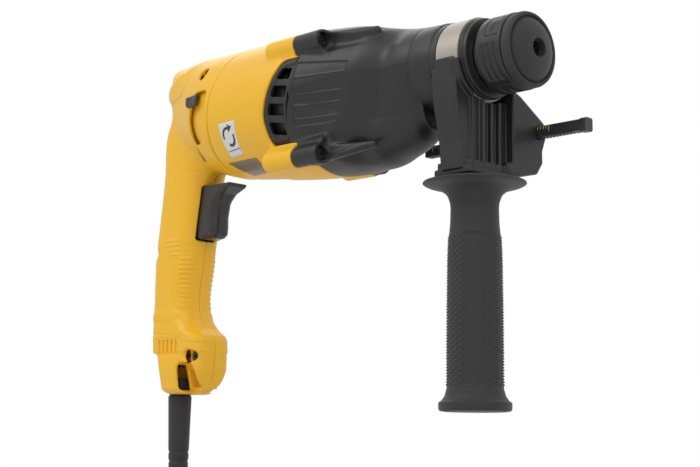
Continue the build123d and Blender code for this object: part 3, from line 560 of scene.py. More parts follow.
def handle_shells():
    for name, side in (("right", -1), ("left", 1)):
        ends = sorted((0.5 * -side, 45.0 * side))
        low, high = (-18.0, ends[0], -117.0), (87.5, ends[1], 113.0)
        piece = solid(f"handle_{name}_skin", low, high, handle_field(side), "tool", YELLOW)
        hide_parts(f"handle_shell_{name}")


# --- Motor housing ---
BARREL = [  # x, radius, its height
    (64.0, 42.1, 68.3), (SHELL_END, 42.9, 67.6), (98.0, 44.2, 66.4), (128.0, 45.6, 64.4),
    (SEAM, 46.0, 63.4),
]
LUGS = [(-36.0, 93.2), (36.0, 93.2), (-36.3, 23.2), (31.0, 28.0)]
LUG_R = 6.3
VENT_LOW = 33.0
VENT_HIGH = 84.6


def lug_front(y):
    """The left lower lug is shorter, to clear the depth rod."""
    return 162.0 if 0 < y < 33 else 175.0


def lug_field(y, z, lug_y, lug_z, inward):
    """A screw's lug, with a second round nearer the motor's axis that joins it to the wall."""
    lug = np.hypot(y - lug_y, z - lug_z) - LUG_R
    root = np.hypot(y - inward * lug_y, z - MOTOR_Z - inward * (lug_z - MOTOR_Z)) - LUG_R
    return smooth_min(lug, root, 2.0)


def seam_x(z):
    """Where the gear housing meets the motor housing: leaning between the lugs, level at them."""
    leaning = SEAM + 0.4 + 0.24 * (z - 55.0)
    lugs = np.clip((34.0 - z) / 1.5, 0, 1) + np.clip((z - 85.0) / 1.5, 0, 1)
    return leaning * (1 - lugs) + (SEAM + 4.0) * lugs


def barrel_field(x, y, z):
    return np.hypot(y, z - along(x, BARREL, 2)) - along(x, BARREL, 1)


def vent_window(x, z):
    """The C-shaped window on each side, open towards the gear housing."""
    rear = along(z, [(30, 131.5), (36, 129.6), (48, 129.2), (60, 132.4), (72, 137.4), (86, 143.0)], 1)
    return smooth_max(rear - x, between(z, VENT_LOW, VENT_HIGH), 5.0)


def motor_field(x, y, z):
    outer = barrel_field(x, y, z)
    for lug_y, lug_z in LUGS:
        outer = smooth_min(outer, smooth_max(lug_field(y, z, lug_y, lug_z, 0.9), 128.0 - x, 3.0), 3.5)
    raised = mask(107.0 + 0.45 * np.clip(z - 30.0, 0, 42) - x, 1.4)
    outer = outer - 0.55 * raised * np.clip((86.0 - z) / 8.0, 0, 1)
    outer = outer + 0.5 * mask(np.abs(vent_window(x, z) - 1.6) - 0.3, 0.8) * (np.abs(y) > 20)
    inner = barrel_field(x, y, z) + WALL
    found = np.maximum(outer, -inner)
    for lug_y, lug_z in LUGS:
        post = np.maximum(np.hypot(y - lug_y, z - lug_z) - 4.8, 128.0 - x)
        found = np.minimum(found, post)
        found = np.maximum(found, -np.maximum(np.hypot(y - lug_y, z - lug_z) - 2.2, 129.0 - x))
    window = np.maximum(vent_window(x, z), 26.0 - np.abs(y))
    found = smooth_max(found, -window, 0.8)
    found = smooth_max(found, shell_seam(z) + 0.12 - x, 0.9)
    return smooth_max(found, x - seam_x(z) + 0.12, 0.9)


def motor_housing():
    low, high = (64.0, -47.0, 15.5), (158.5, 47.0, 112.0)
    piece = solid("motor_skin", low, high, motor_field, "tool", YELLOW)
    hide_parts("motor_housing")


def vent_field(x, y, z):
    """The black insert: a bevelled frame with four slots that slope a little."""
    surface = barrel_field(x, y, z)
    region = vent_window(x, z) + 0.35
    inset = 0.7 + 1.1 * mask(region + 4.0, 1.8)
    border = smooth_max(region, x - seam_x(z) + 0.3, 0.8)
    pad = np.maximum(np.abs(surface + inset + 1.3) - 1.3, border)
    pad = np.maximum(pad, 24.0 - np.abs(y))
    slots = np.full_like(pad, 99.0)
    for index in range(4):
        middle = 42.5 + 11.3 * index
        leaning = z - middle + 0.16 * (x - 142.0)
        ends = smooth_max(region + 3.4, x - seam_x(z) + 2.2, 1.0)
        slot = smooth_max(between(leaning, -3.5, 3.5), ends, 1.2)
        slots = np.minimum(slots, slot)
    return smooth_max(pad, -slots, 0.5)


def vent_baffle():
    """One insert each side, and a plain ring behind them that shuts off the motor."""
    for name, low, high in (("right", -47.0, -24.0), ("left", 24.0, 47.0)):
        piece = solid("vent_insert_" + name, (127.0, low, 31.0), (158.0, high, 87.0), vent_field,
                      "tool", CHARCOAL, 0.35)
        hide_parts("vent_baffle")
    turned("vent_ring", [(128.0, 39.2), (144.0, 39.2), (144.0, 36.8), (128.0, 36.8)], "tool", CHARCOAL,
           at=(0.0, 64.0))


def surface_patch(name, place, material, rows=16, columns=16, proud=0.22):
    """A thin sheet on the barrel's right side; place(u, v) gives its x and z for u, v in 0..1."""
    places = []
    for layer in (proud, -0.3):
        for row in range(rows + 1):
            for column in range(columns + 1):
                x, z = place(column / columns, row / rows)
                radius = straight(x, BARREL, 1)
                middle = straight(x, BARREL, 2)
                y = -math.sqrt(max(radius ** 2 - (z - middle) ** 2, 0.0))
                grow = 1 + layer / radius
                places.append((x * MM, y * grow * MM, (middle + (z - middle) * grow) * MM))
    wide = columns + 1
    sheet = wide * (rows + 1)
    faces = []
    for row in range(rows):
        for column in range(columns):
            a = row * wide + column
            faces.append((a, a + 1, a + 1 + wide, a + wide))
            faces.append((a + sheet, a + wide + sheet, a + 1 + wide + sheet, a + 1 + sheet))
    edge = list(range(columns))
    edge += [columns + row * wide for row in range(rows)]
    edge += [rows * wide + columns - column for column in range(columns)]
    edge += [(rows - row) * wide for row in range(rows)]
    for here, ahead in zip(edge, edge[1:] + edge[:1]):
        faces.append((here, here + sheet, ahead + sheet, ahead))
    new_piece(name, places, faces, "tool", material)


def quad(corners):
    """Maps u, v to a point between four corners."""

    def place(u, v):
        low = np.add(np.multiply(corners[0], 1 - u), np.multiply(corners[1], u))
        high = np.add(np.multiply(corners[3], 1 - u), np.multiply(corners[2], u))
        return low * (1 - v) + high * v

    return place


def arc_band(middle, inner, outer, start, end):
    """Maps u, v to a curved band, for the turning arrows."""

    def place(u, v):
        angle = math.radians(start + (end - start) * u)
        radius = inner + (outer - inner) * v
        return middle[0] + radius * math.cos(angle), middle[1] + radius * math.sin(angle)

    return place


def labels():
    """A plain white label with two turning arrows, and a plain grey plate below it."""
    surface_patch("label", quad([(83.0, 33.5), (96.5, 34.0), (101.5, 53.5), (84.5, 53.5)]), LABEL_WHITE)
    middle = (91.5, 45.0)
    surface_patch("arrow_over", arc_band(middle, 4.2, 5.8, 60, 190), GLOSS_BLACK, 2, 16, 0.3)
    surface_patch("arrow_under", arc_band(middle, 4.2, 5.8, 240, 370), GLOSS_BLACK, 2, 16, 0.3)
    head = quad([(93.0, 47.2), (97.5, 50.8), (95.2, 50.9), (93.0, 52.4)])
    surface_patch("arrow_tip", head, GLOSS_BLACK, 4, 4, 0.3)
    bar = quad([(84.3, 36.9), (97.3, 37.4), (97.4, 37.8), (84.3, 37.3)])
    surface_patch("label_bar", bar, GLOSS_BLACK, 2, 16, 0.3)
    surface_patch("plate", quad([(84.0, 24.7), (112.0, 23.4), (106.0, 31.0), (75.0, 32.0)]), PLATE_GREY)


# --- Gear housing ---
GEAR_CASE = [  # x, upper radius, its height, lower radius, its height
    (SEAM - 5.0, 45.6, 63.8, 44.5, 62.0),
    (SEAM, 45.6, 64.0, 43.5, 60.6),
    (168.0, 41.4, 67.0, 36.8, 52.6),
    (184.0, 37.2, 69.2, 32.0, 48.2),
    (205.0, 31.0, 70.0, 23.5, 42.0),
    (228.0, 26.6, 70.0, 15.5, 43.5),
    (NECK, 26.0, 70.0, 13.0, 47.0),
]
KNOB_X = 168.0
KNOB_Z = 58.0


def drum_field(x, y, z):
    top_r, top_z, low_r, low_z = (along(x, GEAR_CASE, column) for column in (1, 2, 3, 4))
    share = np.clip((top_z - z) / (top_z - low_z), 0, 1)
    radius = top_r + share * (low_r - top_r)
    return np.hypot(y, z - top_z + share * (top_z - low_z)) - radius


def gear_case_field(x, y, z):
    """The case with the shallow hollow between its drum and the spindle's end."""
    sideways = np.clip((np.abs(y) / 24.0 - 0.35) / 0.5, 0, 1)
    valley = 211.0 + 0.2 * np.clip(z - 56, 0, 30) - 0.62 * np.clip(56 - z, 0, 30)
    drum = drum_field(x, y, z) + 2.0 * sideways * np.exp(-(((x - valley) / 7.0) ** 2))
    return drum - 1.3 * sideways * np.exp(-(((x - valley + 17.0) / 8.0) ** 2))


def cone(x, y, z, start, end, start_r, end_r):
    """Distance to a tapered round bar between two points."""
    line = np.subtract(end, start)
    t = (x - start[0]) * line[0] + (y - start[1]) * line[1] + (z - start[2]) * line[2]
    t = np.clip(t / float(line @ line), 0, 1)
    away = np.sqrt(
        (x - start[0] - t * line[0]) ** 2
        + (y - start[1] - t * line[1]) ** 2
        + (z - start[2] - t * line[2]) ** 2
    )
    return away - start_r - t * (end_r - start_r)


def gear_panel(x, z):
    """The framed panel with its ribs on each side of the drum."""
    corners = [(158.5, 79.5), (193.0, 76.0), (182.0, 43.0), (154.0, 43.0)]
    panel = polygon(x, z, corners) - 1.5
    height = -0.7 * mask(panel, 0.9)
    height = height + 0.75 * mask(np.abs(panel + 0.2) - 0.35, 0.8)
    for rib_z in (71.0, 60.5, 54.0, 46.0):
        rib = np.maximum(np.abs(z - rib_z) - 0.3, panel + 1.0)
        height = height + 0.6 * mask(rib, 0.7)
    return height


def gear_field(x, y, z):
    outer = gear_case_field(x, y, z)
    side = np.clip(np.abs(y) / 6.0 - 3.5, 0, 1)
    outer = outer - side * gear_panel(x, z)
    for lug_y, lug_z in LUGS:
        front = lug_front(lug_y)
        if front > 170:
            inward = 0.60 if lug_z > MOTOR_Z else 0.66
            tip = (206.0, inward * lug_y, lug_z + 3.0)
            start = (170.0, 0.93 * lug_y, lug_z)
            outer = smooth_min(outer, cone(x, y, z, start, tip, 5.4, 2.2), 5.0)
            toward = -2.5 if lug_z > MOTOR_Z else 4.5
            scoop_start = (175.0, 1.04 * lug_y, lug_z + 0.5 * toward)
            scoop_end = (206.0, 0.80 * lug_y, lug_z + 1.4 * toward)
            outer = smooth_max(outer, -cone(x, y, z, scoop_start, scoop_end, 6.2, 1.5), 2.0)
        lug = lug_field(y, z, lug_y, lug_z, 0.86)
        outer = smooth_min(outer, smooth_max(lug, x - front, 1.2), 3.5)
    boss = np.maximum(np.hypot(x - KNOB_X, z - KNOB_Z) - 16.5, between(y, 20.0, 44.5))
    outer = smooth_min(outer, boss, 2.5)
    inner = np.maximum(gear_case_field(x, y, z) + WALL + 0.6, x - NECK + 4.0)
    found = np.maximum(outer, -inner)
    for lug_y, lug_z in LUGS:
        front = lug_front(lug_y)
        away = np.hypot(y - lug_y, z - lug_z)
        found = np.minimum(found, np.maximum(away - 4.8, x - front + 6.0))
        found = np.maximum(found, -(away - 2.1))
        found = smooth_max(found, -np.maximum(away - 4.3, front - 6.0 - x), 0.6)
    found = np.maximum(found, -np.maximum(np.hypot(y, z - SPINDLE_Z) - 22.2, NECK - 6.0 - x))
    found = np.maximum(found, -np.maximum(np.hypot(x - KNOB_X, z - KNOB_Z) - 9.3, 15.0 - y))
    found = smooth_max(found, seam_x(z) + 0.12 - x, 0.9)
    return smooth_max(found, x - NECK, 0.8)


def gear_housing():
    low, high = (143.0, -47.0, 14.0), (NECK + 0.5, 47.0, 111.0)
    piece = solid("gear_skin", low, high, gear_field, "tool", CHARCOAL)
    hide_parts("gear_housing")


# --- Chuck ---
def nose_collar():
    outline = [
        (NECK, 25.9), (242.0, 25.6), (249.6, 25.3), (250.0, 24.6), (254.4, 24.8), (254.5, 23.0),
        (271.5, 23.0), (271.6, 23.6), (273.0, 23.5), (273.3, 22.9), (273.9, 22.9), (274.2, 23.4),
        (276.0, 23.1), (276.0, 17.1), (268.0, 17.1), (268.0, 14.6), (253.0, 14.6), (253.0, 21.1),
        (NECK, 21.1),
    ]
    piece = turned("nose_collar_skin", outline, "tool", CHARCOAL, at=(0, SPINDLE_Z),
                   radius=0.35, turns=160)
    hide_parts("nose_collar")


def sleeve_field(x, y, z):
    """The lock sleeve: three pads with a stepped recess, and finger grooves between them."""
    away = np.hypot(y, z - SPINDLE_Z)
    angle = np.degrees(np.arctan2(z - SPINDLE_Z, y))
    third = (angle - 145.0 + 60.0) % 120.0 - 60.0
    radius = 22.1 - 0.5 * np.clip((284.0 - x) / 3.0, 0, 1)
    arc = np.radians(third) * 22.0
    pad = rounded_rect(x - 292.2, arc, 4.6, 7.5, 1.2)
    step = rounded_rect(x - 294.2, arc - 2.0, 2.6, 3.6, 0.8)
    radius = radius - 0.45 * mask(np.abs(pad) - 0.3, 0.7) - 0.5 * mask(step, 0.7)
    beside = np.abs(arc) - 11.5
    for groove_x in (286.2, 290.2, 294.4):
        groove = np.exp(-(((x - groove_x) / 1.15) ** 2))
        radius = radius - 0.85 * groove * np.clip(beside / 1.6, 0, 1)
    body = smooth_max(away - radius, between(x, 281.0, 299.2), 1.2)
    ring = np.maximum(11.6 - away, between(x, 287.5, 292.5))
    return np.maximum(body, np.minimum(ring, 19.0 - away))


def chuck():
    low, high = (280.5, -23.0, SPINDLE_Z - 23.0), (300.0, 23.0, SPINDLE_Z + 23.0)
    sleeve = solid("lock_sleeve_skin", low, high, sleeve_field, "lock_sleeve", CHARCOAL,
                   0.3)
    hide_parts("lock_sleeve")
    dome = [(303.4 + 7.0 * math.cos(a), 18.4 * math.sin(a)) for a in np.linspace(1.55, 0.31, 14)]
    outline = [(299.6, 11.1), (299.6, 21.4), (300.4, 21.75), (303.6, 21.7), (305.2, 21.0), (305.4, 20.0),
               (304.8, 19.3), (303.4, 18.9)] + dome + [(309.6, 5.5), (306.1, 5.5), (306.1, 11.1)]
    cap = turned("nose_cap_skin", outline, "spindle", RUBBER, at=(0, SPINDLE_Z),
                 radius=0.25, turns=160)
    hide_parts("nose_cap")


# --- Side handle ---
GRIP_LOW = -128.5
BUTTON_Z = 22.0
GRIP_HOLE_END = -60.0
GRIP_HOLE_R = 4.3
BUMP_PITCH = 3.25
GRIP_TURN = -50.0  # where the grip's smooth band faces, degrees about its axis


def bracket_field(x, y, z):
    lean = np.clip((60.0 - z) / 56.0, 0, 1)
    outline = [(-25.4, 68.0), (-24.8, 45.0), (-21.5, 20.0), (-21.0, 4.2), (26.0, 4.2), (25.4, 68.0)]
    saddle = polygon(y, z, outline)
    saddle = smooth_max(saddle, between(x, 251.0 + 4.0 * lean, 269.5 + 2.2 * lean), 2.4)
    lobe = [(12.0, 57.0), (25.0, 52.0), (46.5, 39.5), (49.0, 32.0), (45.0, 22.0), (45.2, 15.0),
            (40.0, 8.0), (24.0, 4.4), (12.0, 4.2)]
    far = smooth_max(polygon(y, z, lobe), between(x, 256.2, 277.6), 2.0)
    body = smooth_min(saddle, far, 2.0)
    base = smooth_max(rounded_rect(x - 262.5, y, 14.2, 19.8, 3.0), between(z, 1.6, 5.4), 1.0)
    step = smooth_max(rounded_rect(x - 262.5, y, 13.0, 18.4, 3.0), between(z, 1.6, 9.4), 1.0)
    body = smooth_min(body, smooth_min(base, step, 0.5), 0.8)
    away = np.hypot(y, z - SPINDLE_Z)
    lip = smooth_max(np.abs(away - 26.0) - 1.1, between(x, 266.0, 273.4), 0.8)
    lip = np.maximum(lip, z - 66.0)
    body = smooth_min(body, lip, 1.0)
    body = smooth_max(body, -np.maximum(away - 26.2, x - 254.8), 0.6)
    body = smooth_max(body, -(away - 23.3), 0.4)
    body = smooth_max(body, -np.maximum(away - 24.6, between(x, 254.7, 271.3)), 0.4)
    body = smooth_max(body, -np.maximum(away - 24.3, 271.2 - x), 0.4)
    pocket = np.maximum(np.maximum(between(x, 255.7, 270.3), np.abs(y) - 7.3), between(z, 30, 50))
    body = np.maximum(body, -pocket)
    cover = np.maximum(between(y, -13.0, 17.0), between(z, 9.0, 47.0))
    cover = smooth_max(between(x, 269.6, 272.4), cover, 0.6)
    for rib_y in (-6.0, 1.0, 8.0):
        rib = smooth_max(np.abs(y - rib_y) - 1.1, between(x, 269.6, 275.4), 0.8)
        cover = smooth_min(cover, np.maximum(rib, between(z, 8.0, 46.0)), 1.2)
    cover = smooth_max(cover, 25.6 - away, 0.5)
    floor_x = 262.5 + 7.0 * lean
    recess = smooth_max(smooth_max(floor_x - x, between(y, -12.5, 16.8), 2.5), 11.5 - z, 2.5)
    recess = smooth_max(recess, away - 70.0, 1.0)
    for rib_y in (-4.0, 3.0, 10.0):
        rib = smooth_max(np.abs(y - rib_y) - 1.0, x - floor_x - 5.2, 0.8)
        recess = smooth_max(recess, -rib, 1.2)
    body = smooth_max(body, -recess, 1.0)
    body = smooth_min(body, cover, 1.0)
    hole = rounded_rect(y - ROD_Y, z - ROD_Z - 0.1, 3.3, 3.6, 0.6)
    body = smooth_max(body, -hole, 0.5)
    body = np.maximum(body, -(np.hypot(x - HANDLE_X, y) - 4.6))
    button = np.maximum(np.hypot(x - 270.0, z - BUTTON_Z) - 3.3, 38.0 - y)
    return smooth_max(body, -button, 0.5)


def bracket():
    low, high = (247.5, -26.5, 1.0), (278.0, 50.0, 70.0)
    piece = solid("bracket_skin", low, high, bracket_field, "side_handle", CHARCOAL, 0.4)
    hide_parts("bracket")


GRIP_PROFILE = [  # z, radius
    (GRIP_LOW - 1.8, 17.6), (-129.9, 19.9), (-129.0, 20.6), (-125.6, 20.7), (-124.8, 20.2),
    (-124.2, 19.0), (-121.5, 17.2), (-117.5, 16.1), (-112.0, 15.7), (-108.0, 15.7),
    (-70.0, 15.5), (-32.0, 14.7), (-22.0, 13.9), (-12.0, 14.2),
    (-7.0, 16.6), (-4.0, 21.5), (-2.4, 27.6), (-1.2, 29.7), (-0.5, 29.3), (0.1, 27.5),
]


def grip_radius(z, angle):
    """Radius of the grip, with two smooth bands and staggered rows of bumps between them."""
    radius = straight(z, GRIP_PROFILE, 1)
    rounded = 0.65 * np.clip((z + 112.0) / 4.0, 0, 1)
    radius = radius + rounded * (along(z, GRIP_PROFILE, 1) - radius)
    from_band = np.abs((angle - GRIP_TURN + 90.0) % 180.0 - 90.0)
    sleeve = mask(between(z, -116.0, -31.0), 0.8)
    around = angle * math.pi / 180.0 * 15.5 / 2.5
    row = z / (BUMP_PITCH / 2)
    bump = np.cos(np.pi * row) * np.cos(2 * np.pi * around * 0.5)
    bump = (np.clip(bump - 0.30, 0, 1) / 0.70) ** 1.3
    textured = sleeve * mask(27.0 - from_band, 3.0)
    radius = radius + 0.85 * bump * textured
    return radius - 0.55 * sleeve * mask(from_band - 25.5, 2.0)


def side_grip():
    """The grip as rings of points, from its lower end up and down again into the bolt's hole."""
    z = np.concatenate([np.arange(GRIP_LOW - 1.8, -31.0, 0.4), np.arange(-31.0, 0.11, 0.35)])
    turns = 300
    angles = np.arange(turns) * 360.0 / turns
    hole = np.full(turns, GRIP_HOLE_R)
    rings = [(z[0], np.full(turns, 0.6))]
    rings += list(zip(z, grip_radius(z[:, None], angles[None, :])))
    rings += [(z[-1], hole), (GRIP_HOLE_END, hole)]
    places = []
    for height, ring in rings:
        for r, angle in zip(ring, np.radians(angles)):
            x, y = HANDLE_X + r * math.cos(angle), r * math.sin(angle)
            places.append((x * MM, y * MM, height * MM))
    last = (len(rings) - 1) * turns
    faces = [tuple(reversed(range(turns))), tuple(range(last, last + turns))]
    for start in range(0, last, turns):
        faces += band(start, start + turns, turns)
    piece = new_piece("side_grip_skin", places, faces, "side_grip", RUBBER)
    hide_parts("side_grip")


def rod_scale():
    """Painted ticks on the depth rod's right face, every 2 mm with longer ones every 10 mm."""
    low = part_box("depth_rod")[0]
    places, faces = [], []
    count = int((0.288 - low.x) / (2 * MM)) - 3
    for index in range(count):
        x = low.x + (6 + 2 * index) * MM
        tall = 3.4 if index % 5 == 0 else 1.7
        top = (ROD_Z + 3.1) * MM
        bottom = top - tall * MM
        face_y = (ROD_Y - 3.0) * MM
        base = len(places)
        for y in (face_y + 0.1 * MM, face_y - 0.12 * MM):
            for px, pz in ((0, bottom), (0.45 * MM, bottom), (0.45 * MM, top), (0, top)):
                places.append((x + px, y, pz))
        corners = [(0, 3, 2, 1), (4, 5, 6, 7), (0, 1, 5, 4), (1, 2, 6, 5), (2, 3, 7, 6), (3, 0, 4, 7)]
        faces += [tuple(base + corner for corner in face) for face in corners]
    new_piece("rod_scale", places, faces, "depth_rod", SCALE_YELLOW, smooth=False)


# --- Trigger, screws, reversing tab, knob ---
def trigger_field(x, y, z):
    outline = [(25.5, TRIGGER_LOW + 1.6), (28.0, TRIGGER_LOW), (39.0, TRIGGER_LOW), (42.0, -9.4),
               (42.7, -4.0), (42.6, 3.0), (44.3, 11.0), (48.6, 17.6), (56.4, 21.8),
               (57.2, TRIGGER_TOP), (25.5, TRIGGER_TOP)]
    flat = polygon(x, z, outline)
    edge = 5.2 * np.clip((x - 28.0) / 9.0, 0, 1) * np.clip((23.0 - z) / 9.0, 0, 1) + 0.8
    side = np.abs(y) - TRIGGER_HALF
    rounded = np.hypot(np.maximum(flat + edge, 0), np.maximum(side + edge, 0)) - edge
    body = rounded + np.minimum(np.maximum(flat + edge, side + edge), 0)
    stem = np.maximum(np.hypot(y, z - 4.0) - 2.0, between(x, 10.0, 27.0))
    return smooth_min(body, stem, 0.5)


def trigger():
    low, high = (9.5, -8.5, TRIGGER_LOW - 0.5), (58.0, 8.5, TRIGGER_TOP + 0.5)
    piece = solid("trigger_skin", low, high, trigger_field, "trigger", GLOSS_BLACK, 0.35)
    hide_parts("trigger")


def shell_screws():
    for index, (screw_x, screw_z) in enumerate(SHELL_SCREWS):
        head_y = screw_face(screw_x, screw_z) + 6.6

        def field(x, y, z):
            away = np.hypot(x - screw_x, z - screw_z)
            head = smooth_max(away - 3.3, between(y, head_y - 2.2, head_y), 0.7)
            shank = np.maximum(away - 1.5, between(y, head_y - 0.5, head_y + 14.0))
            socket = np.maximum(star(x - screw_x, z - screw_z, 1.75), y - head_y + 0.8)
            return np.maximum(np.minimum(head, shank), -socket)

        low = (screw_x - 4.0, head_y - 3.0, screw_z - 4.0)
        high = (screw_x + 4.0, head_y + 14.5, screw_z + 4.0)
        piece = solid(f"shell_screw_{index + 1}", low, high, field, "tool", BLACK_STEEL,
                      0.22)
        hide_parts("shell_screws")


def star(u, v, radius):
    """Distance to a six-lobed socket."""
    angle = np.arctan2(v, u)
    return np.hypot(u, v) - radius * (1 + 0.16 * np.cos(6 * angle))


def brush_ring_field(x, y, z):
    """The ring round the commutator with its arm, and the tab that a thumb moves."""
    away = np.hypot(y, z - MOTOR_Z)
    ring = np.maximum(np.maximum(away - 31.0, 16.5 - away), between(x, 75.0, 77.0))
    arm = np.maximum(np.abs(away - 33.6) - 1.5, between(x, 50.8, 77.0))
    arm = np.maximum(np.maximum(arm, between(z, 70.6, 75.9)), y)
    rim = np.maximum(np.abs(away - 33.0) - 2.1, between(x, 74.6, 77.0))
    rim = np.maximum(rim, between(z, 70.0, 76.5))
    stem = np.maximum(between(x, 50.8, 53.4), between(z, 70.4, 76.0))
    stem = np.maximum(stem, np.maximum(between(y, -41.5, -31.0), y))
    surface = np.hypot(y, z - MOTOR_Z - 2.0) - (39.4 + 0.16 * (x - 50.0))
    tab = smooth_max(np.abs(surface) - 1.5, between(x, 50.8, 61.5), 0.9)
    tab = smooth_max(np.maximum(tab, y), between(z, 69.4, 77.0), 0.9)
    return np.minimum(np.minimum(ring, np.minimum(arm, np.maximum(rim, y))), np.minimum(stem, tab))


def brush_ring():
    low, high = (50.0, -43.5, 33.0), (77.5, 32.0, 97.0)
    piece = solid("brush_ring_skin", low, high, brush_ring_field, "brush_ring", DARK_GREY,
                  0.4)
    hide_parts("brush_ring")


def knob_field(x, y, z):
    away = np.hypot(x - KNOB_X, z - KNOB_Z)
    disc = smooth_max(away - 15.4, between(y, 44.8, 51.0), 1.6)
    stem = np.maximum(away - 9.1, between(y, 34.0, 46.0))
    wing = smooth_max(rounded_rect(x - KNOB_X, z - KNOB_Z, 14.4, 4.6, 2.2), between(y, 50.0, 57.0), 2.2)
    wing = smooth_max(wing, away - 14.7, 1.5)
    body = smooth_min(disc, wing, 2.0)
    angle = np.degrees(np.arctan2(z - KNOB_Z, x - KNOB_X))
    notch = 0.7 * mask(np.abs(angle % 20.0 - 10.0) - 3.0, 2.0)
    body = body + notch * mask(14.6 - away, 0.8) * (y < 51)
    body = np.minimum(body, stem)
    pin = np.maximum(np.hypot(x - KNOB_X - 6, z - KNOB_Z) - 1.5, between(y, 30.0, 35.0))
    body = np.minimum(body, pin)
    pocket = np.maximum(rounded_rect(x - KNOB_X - 7.0, z - KNOB_Z, 3.8, 3.3, 0.8), 49.0 - y)
    arrow = polygon(x - KNOB_X, z - KNOB_Z, [(-13.0, 0.0), (-8.0, -2.6), (-8.0, 2.6)])
    body = smooth_max(body, -np.maximum(arrow, 56.4 - y), 0.3)
    return smooth_max(body, -pocket, 0.4)


def mode_knob():
    low, high = (KNOB_X - 16.0, 29.5, KNOB_Z - 16.0), (KNOB_X + 16.0, 57.5, KNOB_Z + 16.0)
    piece = solid("mode_knob_skin", low, high, knob_field, "mode_knob", CHARCOAL, 0.4)
    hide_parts("mode_knob")


def cord_guard():
    """The tapered strain relief, with shallow rings near its end."""
    outline = [(-104.0, 4.05), (-104.1, 9.0), (-112.3, 9.0), (-112.4, 7.1), (-115.6, 7.1), (-116.4, 7.9)]
    for ring in range(6):
        z = -150.0 - 6.0 * ring
        r = 7.0 - 0.032 * (-150.0 - z)
        outline += [(z, r), (z - 2.4, r - 0.08), (z - 2.8, r - 0.5), (z - 4.4, r - 0.55),
                    (z - 4.8, r - 0.16)]
    outline += [(-188.0, 5.6), (-188.0, 4.05)]
    piece = turned("cord_guard_skin", outline, "tool", RUBBER, axis="Z", at=(CORD_X, 0.0),
                   radius=0.4, turns=96)
    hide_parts("cord_guard")


# --- Camera, light, floor ---
def camera():
    place = Vector((0.80631, -0.64545, -0.15522))
    ahead = Vector((-0.69821, 0.7007, 0.14672))
    roll = math.radians(-0.56)
    lens = bpy.data.cameras.new("camera")
    lens.sensor_width = 36.0
    lens.lens = 77.14
    lens.clip_end = 100.0
    holder = bpy.data.objects.new("camera", lens)
    turn = ahead.to_track_quat("-Z", "Y").to_matrix() @ Matrix.Rotation(-roll, 3, "Z")
    holder.matrix_world = Matrix.Translation(place) @ turn.to_4x4()
    bpy.context.scene.collection.objects.link(holder)
    bpy.context.scene.camera = holder


def soft_light(name, place, aim, size, power):
    lamp = bpy.data.lights.new(name, "AREA")
    lamp.shape = "RECTANGLE"
    lamp.size, lamp.size_y = size
    lamp.energy = power
    holder = bpy.data.objects.new(name, lamp)
    direction = Vector(aim) - Vector(place)
    holder.rotation_euler = direction.to_track_quat("-Z", "Y").to_euler()
    holder.location = place
    bpy.context.scene.collection.objects.link(holder)


def studio():
    world = bpy.data.worlds.new("studio")
    bpy.context.scene.world = world
    world.use_nodes = True
    nodes, links = world.node_tree.nodes, world.node_tree.links
    fill = put(nodes["Background"], {"Color": (1, 1, 1, 1), "Strength": 0.72})
    seen = put(nodes.new("ShaderNodeBackground"), {"Color": (1, 1, 1, 1), "Strength": 1.0})
    ray = nodes.new("ShaderNodeLightPath")
    either = nodes.new("ShaderNodeMixShader")
    links.new(ray.outputs["Is Camera Ray"], either.inputs["Fac"])
    links.new(fill.outputs["Background"], either.inputs[1])
    links.new(seen.outputs["Background"], either.inputs[2])
    links.new(either.outputs["Shader"], nodes["World Output"].inputs["Surface"])
    middle = (0.12, 0, 0.02)
    soft_light("key", (-0.4, -1.3, 1.5), middle, (1.2, 1.0), 9.0)
    soft_light("front", (1.5, -0.9, 1.0), middle, (0.9, 0.9), 5.0)
    soft_light("rear", (-1.2, 0.9, 1.2), middle, (1.0, 1.0), 4.0)
    bpy.context.scene.view_settings.view_transform = "Standard"
    mesh = bpy.data.meshes.new("floor")
    half = 4.0
    z = CAD_BOUNDS[0][2] - 0.0005
    corners = [(-half, -half, z), (half, -half, z), (half, half, z), (-half, half, z)]
    mesh.from_pydata(corners, [], [(0, 1, 2, 3)])
    ground = bpy.data.objects.new("floor", mesh)
    bpy.context.scene.collection.objects.link(ground)
    mesh.materials.append(node_material("pale_floor", (0.82, 0.82, 0.82), 0.6, grain=300.0, bump=0.01,
                                        vary=0.01, rough_vary=0.02))


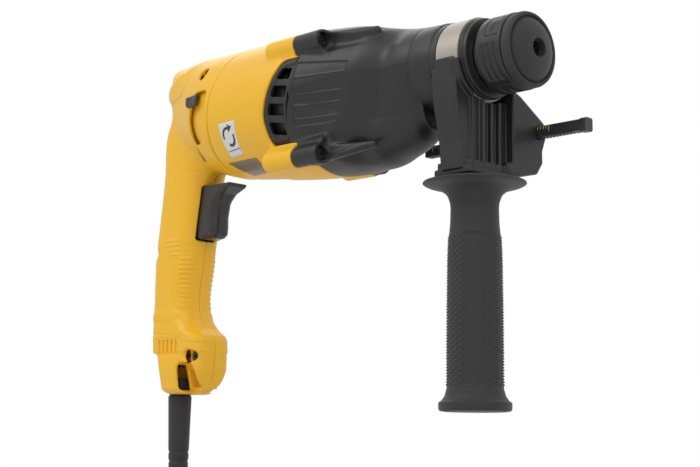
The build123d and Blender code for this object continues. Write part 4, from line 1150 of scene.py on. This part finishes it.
# --- Cord ---
COIL_CENTRE = (136.0, -14.0)
COIL_MEAN_R = 46.0
COIL_PITCH = 8.3
LAYER_RISE = 7.4
ROUTE = [
    (CORD_X, 0.0, -104.0),
    (CORD_X, 0.0, -214.0),
    (27.0, -20.0, -259.0),
    (72.0, -48.0, CORD_LOW),
    (122.0, -62.0, CORD_LOW),
]
LEAD_OUT = [(183.0, 20.0, CORD_LOW + 17.0), (160.0, 39.5, CORD_LOW + 7.0)]
TAIL = [(128.0, 39.0, CORD_LOW), (64.0, 39.0, CORD_LOW)]


def coil_points():
    """Twelve turns in four layers of three; each moves over by one width in its last two thirds."""
    points = []
    per_turn = 16
    first = math.atan2(ROUTE[-1][1] - COIL_CENTRE[1], ROUTE[-1][0] - COIL_CENTRE[0])
    for index in range(4, 12 * per_turn):
        turn, part = divmod(index / per_turn, 1.0)
        share = (1 - math.cos(math.pi * min(max((part - 0.35) / 0.65, 0.0), 1.0))) / 2
        here = coil_seat(int(turn))
        ahead = coil_seat(int(turn) + 1)
        radius = here[0] + share * (ahead[0] - here[0])
        height = here[1] + share * (ahead[1] - here[1])
        angle = first + 2 * math.pi * index / per_turn
        x = COIL_CENTRE[0] + radius * math.cos(angle)
        y = COIL_CENTRE[1] + radius * math.sin(angle)
        points.append((x, y, height))
    return points


def coil_seat(turn):
    """Radius and height of one turn; the layers run out and back in."""
    layer = min(turn // 3, 3)
    within = turn - 3 * layer
    across = 1.0 - within if layer % 2 == 0 else within - 1.0
    shift = -0.25 if layer % 2 == 0 else 0.25
    return COIL_MEAN_R + COIL_PITCH * (across + shift), CORD_LOW + LAYER_RISE * layer


def power_cord():
    points = ROUTE + coil_points() + LEAD_OUT + TAIL
    curve = bpy.data.curves.new("power_cord", "CURVE")
    curve.dimensions = "3D"
    curve.bevel_depth = CORD_R * MM
    curve.bevel_resolution = 5
    curve.resolution_u = 6
    curve.use_fill_caps = True
    line = curve.splines.new("NURBS")
    line.points.add(len(points) - 1)
    for target, point in zip(line.points, points):
        target.co = (point[0] * MM, point[1] * MM, point[2] * MM, 1)
    line.order_u = 3
    line.use_endpoint_u = True
    piece = placed("power_cord", curve, "tool", RUBBER)
    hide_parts("cord_tube", "cord_coil")


paint_nodes()
camera()
studio()
power_cord()
handle_shells()
motor_housing()
vent_baffle()
labels()
gear_housing()
nose_collar()
chuck()
bracket()
side_grip()
rod_scale()
trigger()
shell_screws()
brush_ring()
mode_knob()
cord_guard()
